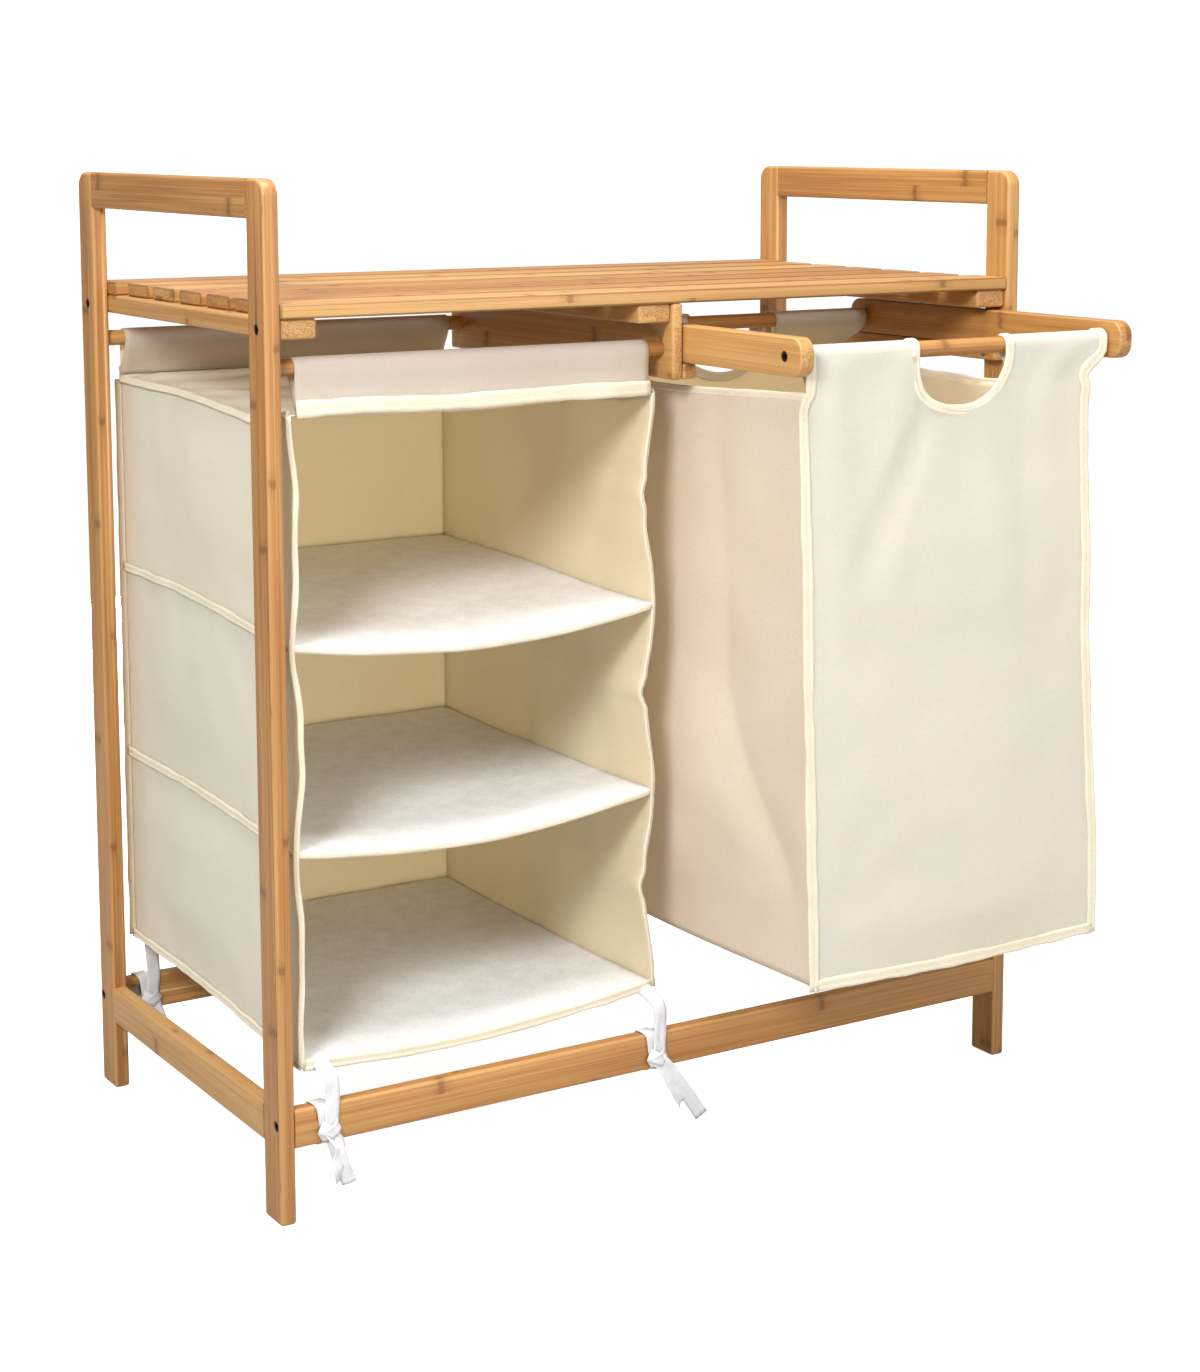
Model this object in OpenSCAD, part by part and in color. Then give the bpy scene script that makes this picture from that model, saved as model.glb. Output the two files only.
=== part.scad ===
// Bamboo shelf unit: a hanging three-tier organiser on the left and a sliding laundry bag on the right.
// Millimetres. +X is the right side seen from the front, -Y the front, +Z up.
// The origin is on the floor, under the middle of the whole object with the bag pulled out.

/* [Cabinet] */
// Width over both side frames
cab_w = 655; // [600:5:760]
// Depth of a side frame
cab_d = 345; // [330:5:400]
// Height to the top of the side frames
cab_h = 730; // [700:5:860]
// Underside of the four lower rails above the floor
rail_z = 55; // [40:1:75]

/* [Bamboo strips] */
// Width of the flat strips that the frames are cut from
strip_w = 28; // [26:1:32]
// Thickness of those strips
strip_t = 12; // [11:1:14]
// Radius of a side frame's outer top corners
corner_r = 12; // [6:1:16]
// Height of the handle rail at the top of a side frame
handle_h = 27; // [22:1:32]
// Diameter of the four cloth rods
rod_d = 12; // [10:1:13]

/* [Shelf] */
// Top of the shelf above the floor
shelf_z = 646; // [640:1:655]
// Width of a slat
slat_w = 41; // [34:1:42]
// Thickness of a slat
slat_t = 10; // [8:1:12]
// Space left between the inner slats' ends and the side frames
slat_end_gap = 6.5; // [3:0.5:12]
// Thickness of the three battens under the slats
batten_t = 14; // [12:1:14]
// Space between the battens' ends and the shelf's edges
batten_inset = 3; // [2:1:6]

/* [Divider] */
// Left face of the hanging divider board, from the unit's middle
divider_x = -2; // [-20:1:20]
// Thickness of the divider board
divider_t = 9; // [8:1:12]
// Bottom of the divider board and of both runners above the floor
divider_z = 579.5; // [575:0.5:581]
// Side of the square runners
runner = 12; // [10:1:12]

/* [Pull-out] */
// How far the bag frame stands out of the unit
pull_out = 146.5; // [60:0.5:170]
// Length of the two sliding rails
pull_len = 336; // [300:1:336]
// Width of the sliding rails' edges
pull_t = 12; // [10:1:13]
// Corner radius of the sliding rails' ends
pull_r = 11; // [6:1:13]
// Side clearance of each sliding rail
slide_side_gap = 1; // [0.5:0.1:2]
// Clearance under each sliding rail
slide_gap = 0.3; // [0.2:0.1:0.5]
// Distance from a sliding rail's end to its rod
rod_inset = 20; // [18:1:30]

/* [Bag] */
// Bottom of the bag above the floor
bag_z = 146; // [110:1:250]
// Top edge of the bag's side panels
bag_side_z = 572; // [500:1:576]
// Gap between the bag and each sliding rail
bag_gap = 3; // [2:0.5:8]
// Width of the hand cut-outs in the front and back panels
cutout_w = 88; // [70:1:110]
// Bottom of the hand cut-outs above the floor
cutout_z = 562; // [540:1:570]
// Radius of the cut-outs' lower corners
cutout_r = 34; // [20:1:35]

/* [Organiser] */
// Height of the organiser rods' axis
org_rod_z = 602; // [598:0.5:604]
// Distance from a post's outer face to the organiser rod's axis
org_rod_inset = 17.5; // [16:0.5:20]
// Gap between the organiser and the left side frame
org_left_gap = 13.5; // [6:0.5:20]
// Gap between the organiser and the divider board
org_right_gap = 13; // [6:0.5:20]
// Top panel of the organiser above the floor
org_top_z = 570; // [550:1:576]
// Floor of the organiser's lowest tier
org_floor_z = 122; // [110:1:160]
// Thickness of the card boards inside the tier floors
board_t = 2; // [1.5:0.5:3]

/* [Cloth and ties] */
// Thickness of the sewn panels
cloth_t = 1.5; // [1:0.1:2]
// Width of the ribbon ties
tie_w = 12; // [8:1:16]
// Thickness of the ribbon ties
tie_t = 1; // [0.6:0.1:1.5]

/* [Hardware] */
// Shank diameter of the socket bolts
bolt_d = 5; // [4:0.5:5.5]
// Length under the head of the socket bolts
bolt_len = 30; // [28:1:34]
// Head diameter of the socket bolts
bolt_head_d = 7.6; // [7:0.1:9]
// Diameter of the barrel nuts
nut_d = 10; // [8:1:10]
// Diameter of the hidden dowels
dowel_d = 6; // [5:0.5:8]
// Shank diameter of the wood screws
screw_d = 3.5; // [3:0.1:4]

/* [Hidden] */
$fn = 48;
hw = cab_w / 2;
hd = cab_d / 2;
tie_gap = 0.3;
// The ribbons of the rear ties lie just behind the rear rail
tie_wrap = tie_gap + tie_t;
mid_y = (pull_out - tie_wrap) / 2;
inner_x = hw - strip_t;

slat_count = 7;
slat_z = shelf_z - slat_t;
batten_z = slat_z - batten_t;
slat_pitch = (cab_d - slat_w) / (slat_count - 1);
batten_x = [-inner_x, divider_x - strip_w, inner_x - strip_w];
handle_z = cab_h - handle_h;

divider_right = divider_x + divider_t;
runner_top = divider_z + runner;

pull_z = runner_top + slide_gap;
pull_left = divider_right + slide_side_gap;
pull_right = inner_x - slide_side_gap;
pull_mid_y = -hd - pull_out + pull_len / 2;
pull_rod_z = pull_z + strip_w / 2;
pull_rod_y = pull_len / 2 - rod_inset;

sleeve_gap = 0.2;
sleeve_r = rod_d / 2 + sleeve_gap + cloth_t;
bag_left = pull_left + pull_t + bag_gap;
bag_right = pull_right - pull_t - bag_gap;
bag_face = pull_rod_y + sleeve_r;
cutout_x = (bag_left + bag_right) / 2;

org_left = -inner_x + org_left_gap;
org_right = divider_x - org_right_gap;
org_rod_y = hd - org_rod_inset;
org_face = org_rod_y + sleeve_r;
org_side_z = org_floor_z - cloth_t - board_t - cloth_t;
tiers = 3;
tier_pitch = (org_top_z - org_floor_z) / tiers;
floor_t = board_t + 2 * cloth_t;
socket_depth = 5;

bolt_head_h = 5;
bore_gap = 0.4;
head_seat = 5.5;
bolt_z = batten_z + batten_t / 2;
lower_bolt_z = rail_z + 17;
nut_len = 9;
nut_offset = 16;
dowel_len = 24;
dowel_side = 7;
screw_head_d = 7;
screw_head_h = 2.5;
edge_screw_shift = 8;
cross_l = 4;
cross_w = 0.9;
cross_deep = 1.4;

tie_top = org_side_z;
tie_x = [org_left + tie_w, org_right - tie_w];

BAMBOO = [0.80, 0.59, 0.36];
STEEL = [0.25, 0.25, 0.26];
CLOTH = [0.89, 0.87, 0.81];
CARD = [0.85, 0.83, 0.78];
RIBBON = [0.97, 0.97, 0.95];

// ---- Placing ----

// The cabinet's own frame: the middle of its footprint
module in_cabinet() {
    translate([0, mid_y, 0]) children();
}

// The pull-out's own frame: the middle of its length
module in_pullout() {
    in_cabinet() translate([0, pull_mid_y, 0]) children();
}

module flip_x(on) {
    if (on) mirror([1, 0, 0]) children();
    else children();
}

module flip_y(on) {
    if (on) mirror([0, 1, 0]) children();
    else children();
}

// A solid from its lowest corner to its highest one
module block(low, high) {
    translate(low) cube(high - low);
}

// A cylinder from a point along +X or +Y
module rod_x(p, d, len) {
    translate(p) rotate([0, 90, 0]) cylinder(d = d, h = len);
}

module rod_y(p, d, len) {
    translate(p) rotate([-90, 0, 0]) cylinder(d = d, h = len);
}

// Extrudes a (y, z) outline along +X from x0 to x1
module along_x(x0, x1) {
    translate([x0, 0, 0]) rotate([90, 0, 90]) linear_extrude(x1 - x0) children();
}

// ---- Hardware ----

// A socket bolt along +X with its head's outer face at the origin
module socket_bolt() {
    difference() {
        union() {
            rod_x([0, 0, 0], bolt_head_d, bolt_head_h);
            rod_x([bolt_head_h, 0, 0], bolt_d, bolt_len);
        }
        translate([-1, 0, 0]) rotate([0, 90, 0]) cylinder(d = 4.6, h = 4, $fn = 6);
    }
}

// The stepped hole for a socket bolt, from the outer face at x = 0
module bolt_bore(len) {
    rod_x([-1, 0, 0], bolt_head_d + bore_gap, head_seat + 1);
    rod_x([0, 0, 0], bolt_d + bore_gap, len);
}

// The room that a countersunk wood screw takes, along +Z with its head's flat face at z = 0
module screw_bore(len) {
    cylinder(d1 = screw_head_d, d2 = screw_d, h = screw_head_h);
    cylinder(d = screw_d, h = len);
}

// The screw itself, with a cross recess in its head
module wood_screw(len) {
    difference() {
        screw_bore(len);
        for (a = [0, 90]) {
            rotate(a) translate([-cross_l / 2, -cross_w / 2, -1]) cube([cross_l, cross_w, 1 + cross_deep]);
        }
    }
}

// Positions of the four bolted joints of the left-front quarter
module at_frame_bolts() {
    translate([-hw, -hd + strip_w / 2, bolt_z]) children();
    translate([-hw, -hd + strip_t / 2, lower_bolt_z]) children();
}

module each_corner() {
    for (right = [false, true]) {
        for (rear = [false, true]) {
            flip_x(right) flip_y(rear) children();
        }
    }
}

module frame_bolts() {
    color(STEEL) in_cabinet() each_corner() at_frame_bolts()
        translate([head_seat - bolt_head_h, 0, 0]) socket_bolt();
}

// The cross hole that a barrel nut sits in, for the battens (up) or for the lower rails (inward)
module nut_at(t, extra) {
    bite = t / 2 + nut_len / 2;
    translate([0, 0, -t / 2 - extra]) cylinder(d = nut_d, h = bite + extra);
}

module nut_solid() {
    difference() {
        translate([0, 0, -nut_len / 2]) cylinder(d = nut_d, h = nut_len);
        rod_x([-nut_d, 0, 0], bolt_d, 2 * nut_d);
    }
}

module batten_nut_place() {
    translate([-inner_x + nut_offset, -hd + strip_w / 2, bolt_z]) children();
}

module rail_nut_place() {
    translate([-inner_x + nut_offset, -hd + strip_t / 2, lower_bolt_z]) rotate([90, 0, 0]) children();
}

module barrel_nuts() {
    color(STEEL) in_cabinet() each_corner() {
        batten_nut_place() nut_solid();
        rail_nut_place() nut_solid();
    }
}

// Two dowels in each glued joint between a post and its handle rail or lower rail
module at_dowels() {
    for (z = [handle_z + handle_h / 2, rail_z + strip_w / 2]) {
        for (dz = [-dowel_side, dowel_side]) {
            translate([-hw + strip_t / 2, -hd + strip_w, z + dz]) children();
        }
    }
}

module dowel() {
    rod_y([0, -dowel_len / 2, 0], dowel_d, dowel_len);
}

module frame_dowels() {
    color(BAMBOO) in_cabinet() each_corner() at_dowels() dowel();
}

// ---- Side frames ----

module post_outline() {
    square([strip_w, cab_h - corner_r]);
    translate([corner_r, 0]) square([strip_w - corner_r, cab_h]);
    translate([corner_r, cab_h - corner_r]) circle(r = corner_r);
}

// Describes the left-front post; the others are its mirror images
module post(right, rear) {
    color(BAMBOO) in_cabinet() flip_x(right) flip_y(rear) difference() {
        translate([0, -hd, 0]) along_x(-hw, -inner_x) post_outline();
        at_frame_bolts() bolt_bore(strip_t + 1);
        at_dowels() dowel();
        if (!right) rod_x([-inner_x - socket_depth, -org_rod_y, org_rod_z], rod_d, strip_t);
        if (right) runner_screw_place() screw_bore(runner + 9);
    }
}

module left_front_post() {
    post(false, false);
}

module left_rear_post() {
    post(false, true);
}

module right_front_post() {
    post(true, false);
}

module right_rear_post() {
    post(true, true);
}

// A cross rail of the left side frame, between its two posts
module side_rail(right, z, h) {
    color(BAMBOO) in_cabinet() flip_x(right) difference() {
        block([-hw, -hd + strip_w, z], [-inner_x, hd - strip_w, z + h]);
        at_dowels() dowel();
        flip_y(true) at_dowels() dowel();
    }
}

module left_handle_rail() {
    side_rail(false, handle_z, handle_h);
}

module right_handle_rail() {
    side_rail(true, handle_z, handle_h);
}

module left_lower_rail() {
    side_rail(false, rail_z, strip_w);
}

module right_lower_rail() {
    side_rail(true, rail_z, strip_w);
}

// ---- Front and rear lower rails ----

module long_rail(rear) {
    color(BAMBOO) in_cabinet() flip_y(rear) difference() {
        block([-inner_x, -hd, rail_z], [inner_x, -hd + strip_t, rail_z + strip_w]);
        for (right = [false, true]) {
            flip_x(right) {
                at_frame_bolts() bolt_bore(bolt_len + 8);
                rail_nut_place() nut_at(strip_t, 1);
            }
        }
    }
}

module front_lower_rail() {
    long_rail(false);
}

module rear_lower_rail() {
    long_rail(true);
}

// ---- Shelf ----

function slat_y(i) = -hd + slat_w / 2 + i * slat_pitch;
function is_edge_slat(i) = i == 0 || i == slat_count - 1;
// The edge slats' screws stand a little inward, clear of the barrel nuts
function slat_screw_y(i) = slat_y(i) + (is_edge_slat(i) ? -sign(slat_y(i)) * edge_screw_shift : 0);
function batten_mid(k) = batten_x[k] + strip_w / 2;

// Screws come up through the battens into the slats
module at_slat_screws(i) {
    for (k = [0:2]) {
        translate([batten_mid(k), slat_screw_y(i), batten_z]) children();
    }
}

module slat(i) {
    end = is_edge_slat(i) ? inner_x : inner_x - slat_end_gap;
    color(BAMBOO) in_cabinet() difference() {
        block([-end, slat_y(i) - slat_w / 2, slat_z], [end, slat_y(i) + slat_w / 2, shelf_z]);
        at_slat_screws(i) screw_bore(batten_t + slat_t - 3);
    }
}

module shelf_slat_1() {
    slat(0);
}

module shelf_slat_2() {
    slat(1);
}

module shelf_slat_3() {
    slat(2);
}

module shelf_slat_4() {
    slat(3);
}

module shelf_slat_5() {
    slat(4);
}

module shelf_slat_6() {
    slat(5);
}

module shelf_slat_7() {
    slat(6);
}

module slat_screws() {
    color(STEEL) in_cabinet() for (i = [0:slat_count - 1]) {
        at_slat_screws(i) wood_screw(batten_t + slat_t - 3);
    }
}

module batten(k) {
    color(BAMBOO) in_cabinet() difference() {
        block([batten_x[k], -hd + batten_inset, batten_z], [batten_x[k] + strip_w, hd - batten_inset, slat_z]);
        for (i = [0:slat_count - 1]) {
            at_slat_screws(i) screw_bore(batten_t + slat_t);
        }
        if (k != 1) {
            for (rear = [false, true]) {
                flip_x(k == 2) flip_y(rear) {
                    at_frame_bolts() bolt_bore(bolt_len + 8);
                    batten_nut_place() nut_at(batten_t, 1);
                }
            }
        }
        if (k == 1) divider_screw_place() screw_bore(divider_t + 14);
    }
}

module left_batten() {
    batten(0);
}

module middle_batten() {
    batten(1);
}

module right_batten() {
    batten(2);
}

// ---- Divider board and runners ----

divider_screw_y = [-hd + 45, slat_pitch / 2, hd - 45];
runner_screw_y = [-hd + 14, 0, hd - 14];

// Screws through the divider board into the side of the middle batten
module divider_screw_place() {
    for (y = divider_screw_y) {
        translate([divider_right, y, bolt_z]) rotate([0, -90, 0]) children();
    }
}

module divider_screws() {
    color(STEEL) in_cabinet() divider_screw_place() wood_screw(divider_t + 13);
}

// A runner's screws, for the runner against the right side frame, mirrored to the left
module runner_screw_place() {
    for (y = [runner_screw_y[0], runner_screw_y[2]]) {
        translate([-inner_x + runner, y, divider_z + runner / 2]) rotate([0, -90, 0]) children();
    }
}

module left_runner_screw_place() {
    for (y = runner_screw_y) {
        translate([divider_right + runner, y, divider_z + runner / 2]) rotate([0, -90, 0]) children();
    }
}

module divider_board() {
    color(BAMBOO) in_cabinet() difference() {
        block([divider_x, -hd, divider_z], [divider_right, hd, slat_z]);
        divider_screw_place() screw_bore(divider_t + 1);
        left_runner_screw_place() screw_bore(runner + 7);
        for (y = [-org_rod_y, org_rod_y]) {
            rod_x([divider_x - 1, y, org_rod_z], rod_d, socket_depth + 1);
        }
    }
}

module left_runner() {
    color(BAMBOO) in_cabinet() difference() {
        block([divider_right, -hd, divider_z], [divider_right + runner, hd, runner_top]);
        left_runner_screw_place() screw_bore(runner + 1);
    }
}

module right_runner() {
    color(BAMBOO) in_cabinet() difference() {
        block([inner_x - runner, -hd, divider_z], [inner_x, hd, runner_top]);
        flip_x(true) runner_screw_place() screw_bore(runner + 1);
    }
}

module runner_screws() {
    color(STEEL) in_cabinet() {
        left_runner_screw_place() wood_screw(runner + 6);
        flip_x(true) runner_screw_place() wood_screw(runner + 8);
    }
}

// ---- Rods ----

module organiser_rod(y) {
    color(BAMBOO) in_cabinet()
        rod_x([-inner_x - socket_depth, y, org_rod_z], rod_d, divider_x + inner_x + 2 * socket_depth);
}

module organiser_front_rod() {
    organiser_rod(-org_rod_y);
}

module organiser_rear_rod() {
    organiser_rod(org_rod_y);
}

// ---- Pull-out frame ----

// A bar outline with four rounded corners, centred in y
module bar_outline() {
    straight = pull_len / 2 - pull_r;
    translate([-straight, 0]) square([2 * straight, strip_w]);
    translate([-pull_len / 2, pull_r]) square([pull_len, strip_w - 2 * pull_r]);
    for (y = [-straight, straight]) {
        for (z = [pull_r, strip_w - pull_r]) {
            translate([y, z]) circle(r = pull_r);
        }
    }
}

// The bolts that hold the rods, seen from each sliding rail's outer face
module at_pullout_bolts() {
    for (y = [-pull_rod_y, pull_rod_y]) {
        translate([pull_left, y, pull_rod_z]) children();
        translate([pull_right, y, pull_rod_z]) mirror([1, 0, 0]) children();
    }
}

module pullout_rail(x) {
    color(BAMBOO) in_pullout() difference() {
        translate([0, 0, pull_z]) along_x(x, x + pull_t) bar_outline();
        at_pullout_bolts() bolt_bore(pull_t + 1);
    }
}

module pullout_left_rail() {
    pullout_rail(pull_left);
}

module pullout_right_rail() {
    pullout_rail(pull_right - pull_t);
}

module pullout_rod(y) {
    color(BAMBOO) in_pullout() difference() {
        rod_x([pull_left + pull_t, y, pull_rod_z], rod_d, pull_right - pull_left - 2 * pull_t);
        at_pullout_bolts() rod_x([0, 0, 0], bolt_d, head_seat + bolt_len);
    }
}

module pullout_front_rod() {
    pullout_rod(-pull_rod_y);
}

module pullout_rear_rod() {
    pullout_rod(pull_rod_y);
}

module pullout_bolts() {
    color(STEEL) in_pullout() at_pullout_bolts()
        translate([head_seat - bolt_head_h, 0, 0]) socket_bolt();
}

// ---- Laundry bag ----

// A sleeve round a rod at the origin, with its panel hanging from the sleeve's front
module sleeve_outline(drop) {
    difference() {
        union() {
            circle(r = sleeve_r);
            translate([-sleeve_r, -drop]) square([cloth_t, drop]);
        }
        circle(r = sleeve_r - cloth_t);
    }
}

// The U-shaped cut-out that bares the rod for the hand, cut along Y
module hand_cutout() {
    top = pull_rod_z + sleeve_r + 1;
    wide = cutout_w / 2;
    translate([cutout_x, 0, 0]) rotate([90, 0, 0]) linear_extrude(pull_len, center = true) {
        translate([-wide, cutout_z + cutout_r]) square([cutout_w, top - cutout_z - cutout_r]);
        translate([cutout_r - wide, cutout_z]) square([cutout_w - 2 * cutout_r, cutout_r]);
        for (x = [cutout_r - wide, wide - cutout_r]) {
            translate([x, cutout_z + cutout_r]) circle(r = cutout_r);
        }
    }
}

module bag_hung_panel(back) {
    color(CLOTH) in_pullout() flip_y(back) difference() {
        translate([0, -pull_rod_y, pull_rod_z]) along_x(bag_left, bag_right) sleeve_outline(pull_rod_z - bag_z);
        hand_cutout();
    }
}

module bag_front_panel() {
    bag_hung_panel(false);
}

module bag_back_panel() {
    bag_hung_panel(true);
}

module bag_side_panel(x) {
    inside = bag_face - cloth_t;
    color(CLOTH) in_pullout() block([x, -inside, bag_z], [x + cloth_t, inside, bag_side_z]);
}

module bag_left_panel() {
    bag_side_panel(bag_left);
}

module bag_right_panel() {
    bag_side_panel(bag_right - cloth_t);
}

module bag_bottom_panel() {
    inside = bag_face - cloth_t;
    color(CLOTH) in_pullout()
        block([bag_left + cloth_t, -inside, bag_z], [bag_right - cloth_t, inside, bag_z + cloth_t]);
}

// ---- Hanging organiser ----

module organiser_side(x) {
    color(CLOTH) in_cabinet() block([x, -org_face, org_side_z], [x + cloth_t, org_face, org_top_z]);
}

module organiser_left_panel() {
    organiser_side(org_left);
}

module organiser_right_panel() {
    organiser_side(org_right - cloth_t);
}

module organiser_back_panel() {
    color(CLOTH) in_cabinet()
        block([org_left + cloth_t, org_face - cloth_t, org_side_z], [org_right - cloth_t, org_face, org_top_z]);
}

module organiser_top_panel() {
    color(CLOTH) in_cabinet() block([org_left, -org_face, org_top_z], [org_right, org_face, org_top_z + cloth_t]);
}

module organiser_sleeve(rear) {
    color(CLOTH) in_cabinet() flip_y(rear) translate([0, -org_rod_y, org_rod_z])
        along_x(org_left, org_right) sleeve_outline(org_rod_z - org_top_z - cloth_t);
}

module organiser_front_sleeve() {
    organiser_sleeve(false);
}

module organiser_rear_sleeve() {
    organiser_sleeve(true);
}

function tier_z(i) = org_floor_z + i * tier_pitch;

// The card board inside tier floor i
module tier_board(i) {
    block([org_left + 2 * cloth_t, -org_face + cloth_t, tier_z(i) - cloth_t - board_t],
          [org_right - 2 * cloth_t, org_face - 2 * cloth_t, tier_z(i) - cloth_t]);
}

// A tier floor is a flat cloth pocket sewn to the side and back panels
module tier_floor(i) {
    color(CLOTH) in_cabinet() difference() {
        block([org_left + cloth_t, -org_face, tier_z(i) - floor_t],
              [org_right - cloth_t, org_face - cloth_t, tier_z(i)]);
        tier_board(i);
    }
}

module organiser_bottom_floor() {
    tier_floor(0);
}

module organiser_middle_floor() {
    tier_floor(1);
}

module organiser_upper_floor() {
    tier_floor(2);
}

module organiser_boards() {
    color(CARD) in_cabinet() for (i = [0:tiers - 1]) {
        tier_board(i);
    }
}

// ---- Ties ----

// Side view of a ribbon that hangs from the organiser and wraps the front lower rail
module tie_outline() {
    front = -hd - tie_wrap;
    back = -hd + strip_t + tie_wrap;
    low = rail_z - tie_wrap;
    high = rail_z + strip_w + tie_wrap;
    difference() {
        translate([front, low]) square([back - front, high - low]);
        translate([front + tie_t, low + tie_t]) square([back - front - 2 * tie_t, high - low - 2 * tie_t]);
    }
    translate([back - tie_t, high - tie_t]) square([tie_t, tie_top - high + tie_t]);
}

// The knot and two loose tails, in front of the rail; the rear ties have theirs inside the unit
module tie_ends(side) {
    face = side < 0 ? -hd - tie_wrap : -hd + strip_t + tie_wrap;
    knot = 7;
    tail = 34;
    half = tie_w / 2;
    knot_z = rail_z + strip_w / 2;
    y0 = side < 0 ? face - knot : face;
    block([-half, y0, knot_z - knot], [half, y0 + knot, knot_z + knot]);
    for (x = [-half - 4, half - tie_w + 8]) {
        block([x, y0 + 2, knot_z - knot - tail], [x + tie_w - 4, y0 + 2 + tie_t, knot_z - knot + 1]);
    }
}

module tie(x, rear) {
    color(RIBBON) in_cabinet() flip_y(rear) translate([x, 0, 0]) {
        along_x(-tie_w / 2, tie_w / 2) tie_outline();
        tie_ends(rear ? 1 : -1);
    }
}

module front_left_tie() {
    tie(tie_x[0], false);
}

module front_right_tie() {
    tie(tie_x[1], false);
}

module rear_left_tie() {
    tie(tie_x[0], true);
}

module rear_right_tie() {
    tie(tie_x[1], true);
}

left_front_post();
left_rear_post();
right_front_post();
right_rear_post();
left_handle_rail();
right_handle_rail();
left_lower_rail();
right_lower_rail();
front_lower_rail();
rear_lower_rail();
shelf_slat_1();
shelf_slat_2();
shelf_slat_3();
shelf_slat_4();
shelf_slat_5();
shelf_slat_6();
shelf_slat_7();
left_batten();
middle_batten();
right_batten();
divider_board();
left_runner();
right_runner();
organiser_front_rod();
organiser_rear_rod();
frame_bolts();
barrel_nuts();
frame_dowels();
slat_screws();
divider_screws();
runner_screws();
pullout_left_rail();
pullout_right_rail();
pullout_front_rod();
pullout_rear_rod();
pullout_bolts();
bag_front_panel();
bag_back_panel();
bag_left_panel();
bag_right_panel();
bag_bottom_panel();
organiser_left_panel();
organiser_right_panel();
organiser_back_panel();
organiser_top_panel();
organiser_front_sleeve();
organiser_rear_sleeve();
organiser_upper_floor();
organiser_middle_floor();
organiser_bottom_floor();
organiser_boards();
front_left_tie();
front_right_tie();
rear_left_tie();
rear_right_tie();
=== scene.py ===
# Bamboo shelf unit with a hanging three-tier organiser and a sliding laundry bag.
# Metres. +X is the right side seen from the front, -Y the front, +Z up, and the floor is at z = 0.

import math
import random

import bmesh
import bpy
import numpy as np
from mathutils import Matrix, Vector, noise


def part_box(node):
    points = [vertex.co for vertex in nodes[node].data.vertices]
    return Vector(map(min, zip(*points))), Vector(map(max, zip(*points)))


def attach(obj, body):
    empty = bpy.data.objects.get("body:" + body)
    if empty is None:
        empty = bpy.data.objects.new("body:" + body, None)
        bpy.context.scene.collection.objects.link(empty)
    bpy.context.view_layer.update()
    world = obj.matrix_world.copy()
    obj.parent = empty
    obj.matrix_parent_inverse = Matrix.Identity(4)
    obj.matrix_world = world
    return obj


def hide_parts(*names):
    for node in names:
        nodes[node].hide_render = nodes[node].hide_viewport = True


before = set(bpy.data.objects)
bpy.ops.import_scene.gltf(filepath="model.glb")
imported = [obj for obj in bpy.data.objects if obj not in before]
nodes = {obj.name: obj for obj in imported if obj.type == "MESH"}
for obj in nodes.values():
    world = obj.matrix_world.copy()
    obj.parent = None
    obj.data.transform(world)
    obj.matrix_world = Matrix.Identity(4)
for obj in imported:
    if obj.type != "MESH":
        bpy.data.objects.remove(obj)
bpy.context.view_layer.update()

# ---- Studio ----
# A pale glowing floor inside a white dome, both only to be looked at, over a dull floor that gives
# the bounce. Soft lamps stand at the front left, overhead, at the front right and behind, and the
# camera looks over the shelf from the front left.

STUDIO_FLOOR_SIDE = 30.0
STUDIO_FLOOR_GLOW = 0.74
BOUNCE_FLOOR_DROP = 0.002
PAPER_WHITE = (235, 235, 235)
PAPER_DULL = (176, 176, 176)
PLAIN_WHITE = (1.0, 1.0, 1.0, 1.0)
CAMERA_PLACE = (-1.045, -1.703, 0.7625)
CAMERA_TURN = 32.144
CAMERA_TILT = -7.81
CAMERA_LENS = 68.42
CAMERA_SHIFT = (-0.0233, -0.145)
DOME_RADIUS = 14.0
DOME_GLOW = 1.0
SURROUND_LIGHT = 0.36
LAMPS_LOOK_AT = Vector((0, 0, 0.4))
KEY_LAMP = {"turn": -50, "rise": 30, "away": 2.6, "side": 0.66, "watts": 52}
TOP_LAMP = {"turn": -20, "rise": 80, "away": 2.2, "side": 1.2, "watts": 60}
FILL_LAMP = {"turn": 20, "rise": 12, "away": 3.0, "side": 1.6, "watts": 25}
REAR_LAMP = {"turn": 166, "rise": -4, "away": 2.4, "side": 0.5, "watts": 56}


def tint(red, green, blue):
    """A paint-card colour, 0 to 255 a channel, as the linear values that a shader takes."""
    shares = (red / 255, green / 255, blue / 255)
    return (*(c / 12.92 if c <= 0.04045 else ((c + 0.055) / 1.055) ** 2.4 for c in shares), 1.0)


def feed(tree, node, inputs):
    """Joins a node's inputs to sockets, or gives them values."""
    for socket, value in inputs.items():
        if isinstance(value, bpy.types.NodeSocket):
            tree.links.new(value, node.inputs[socket])
        else:
            node.inputs[socket].default_value = value


def add_node(tree, kind, inputs=None, **settings):
    """A shader node with its settings and its inputs."""
    made = tree.nodes.new(kind)
    for setting, value in settings.items():
        setattr(made, setting, value)
    feed(tree, made, inputs or {})
    return made


def noise_share(tree, place, scale, **inputs):
    """Soft random cloudiness over a place, from 0 to 1."""
    made = add_node(tree, "ShaderNodeTexNoise", {"Vector": place, "Scale": scale, **inputs})
    return made.outputs["Fac"]


def piece_place(tree):
    """The place on the piece itself, in metres."""
    return add_node(tree, "ShaderNodeTexCoord").outputs["Object"]


def new_finish(name):
    """A material with its node tree and its shader."""
    material = bpy.data.materials.new(name)
    material.use_nodes = True
    return material, material.node_tree, material.node_tree.nodes["Principled BSDF"]


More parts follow.
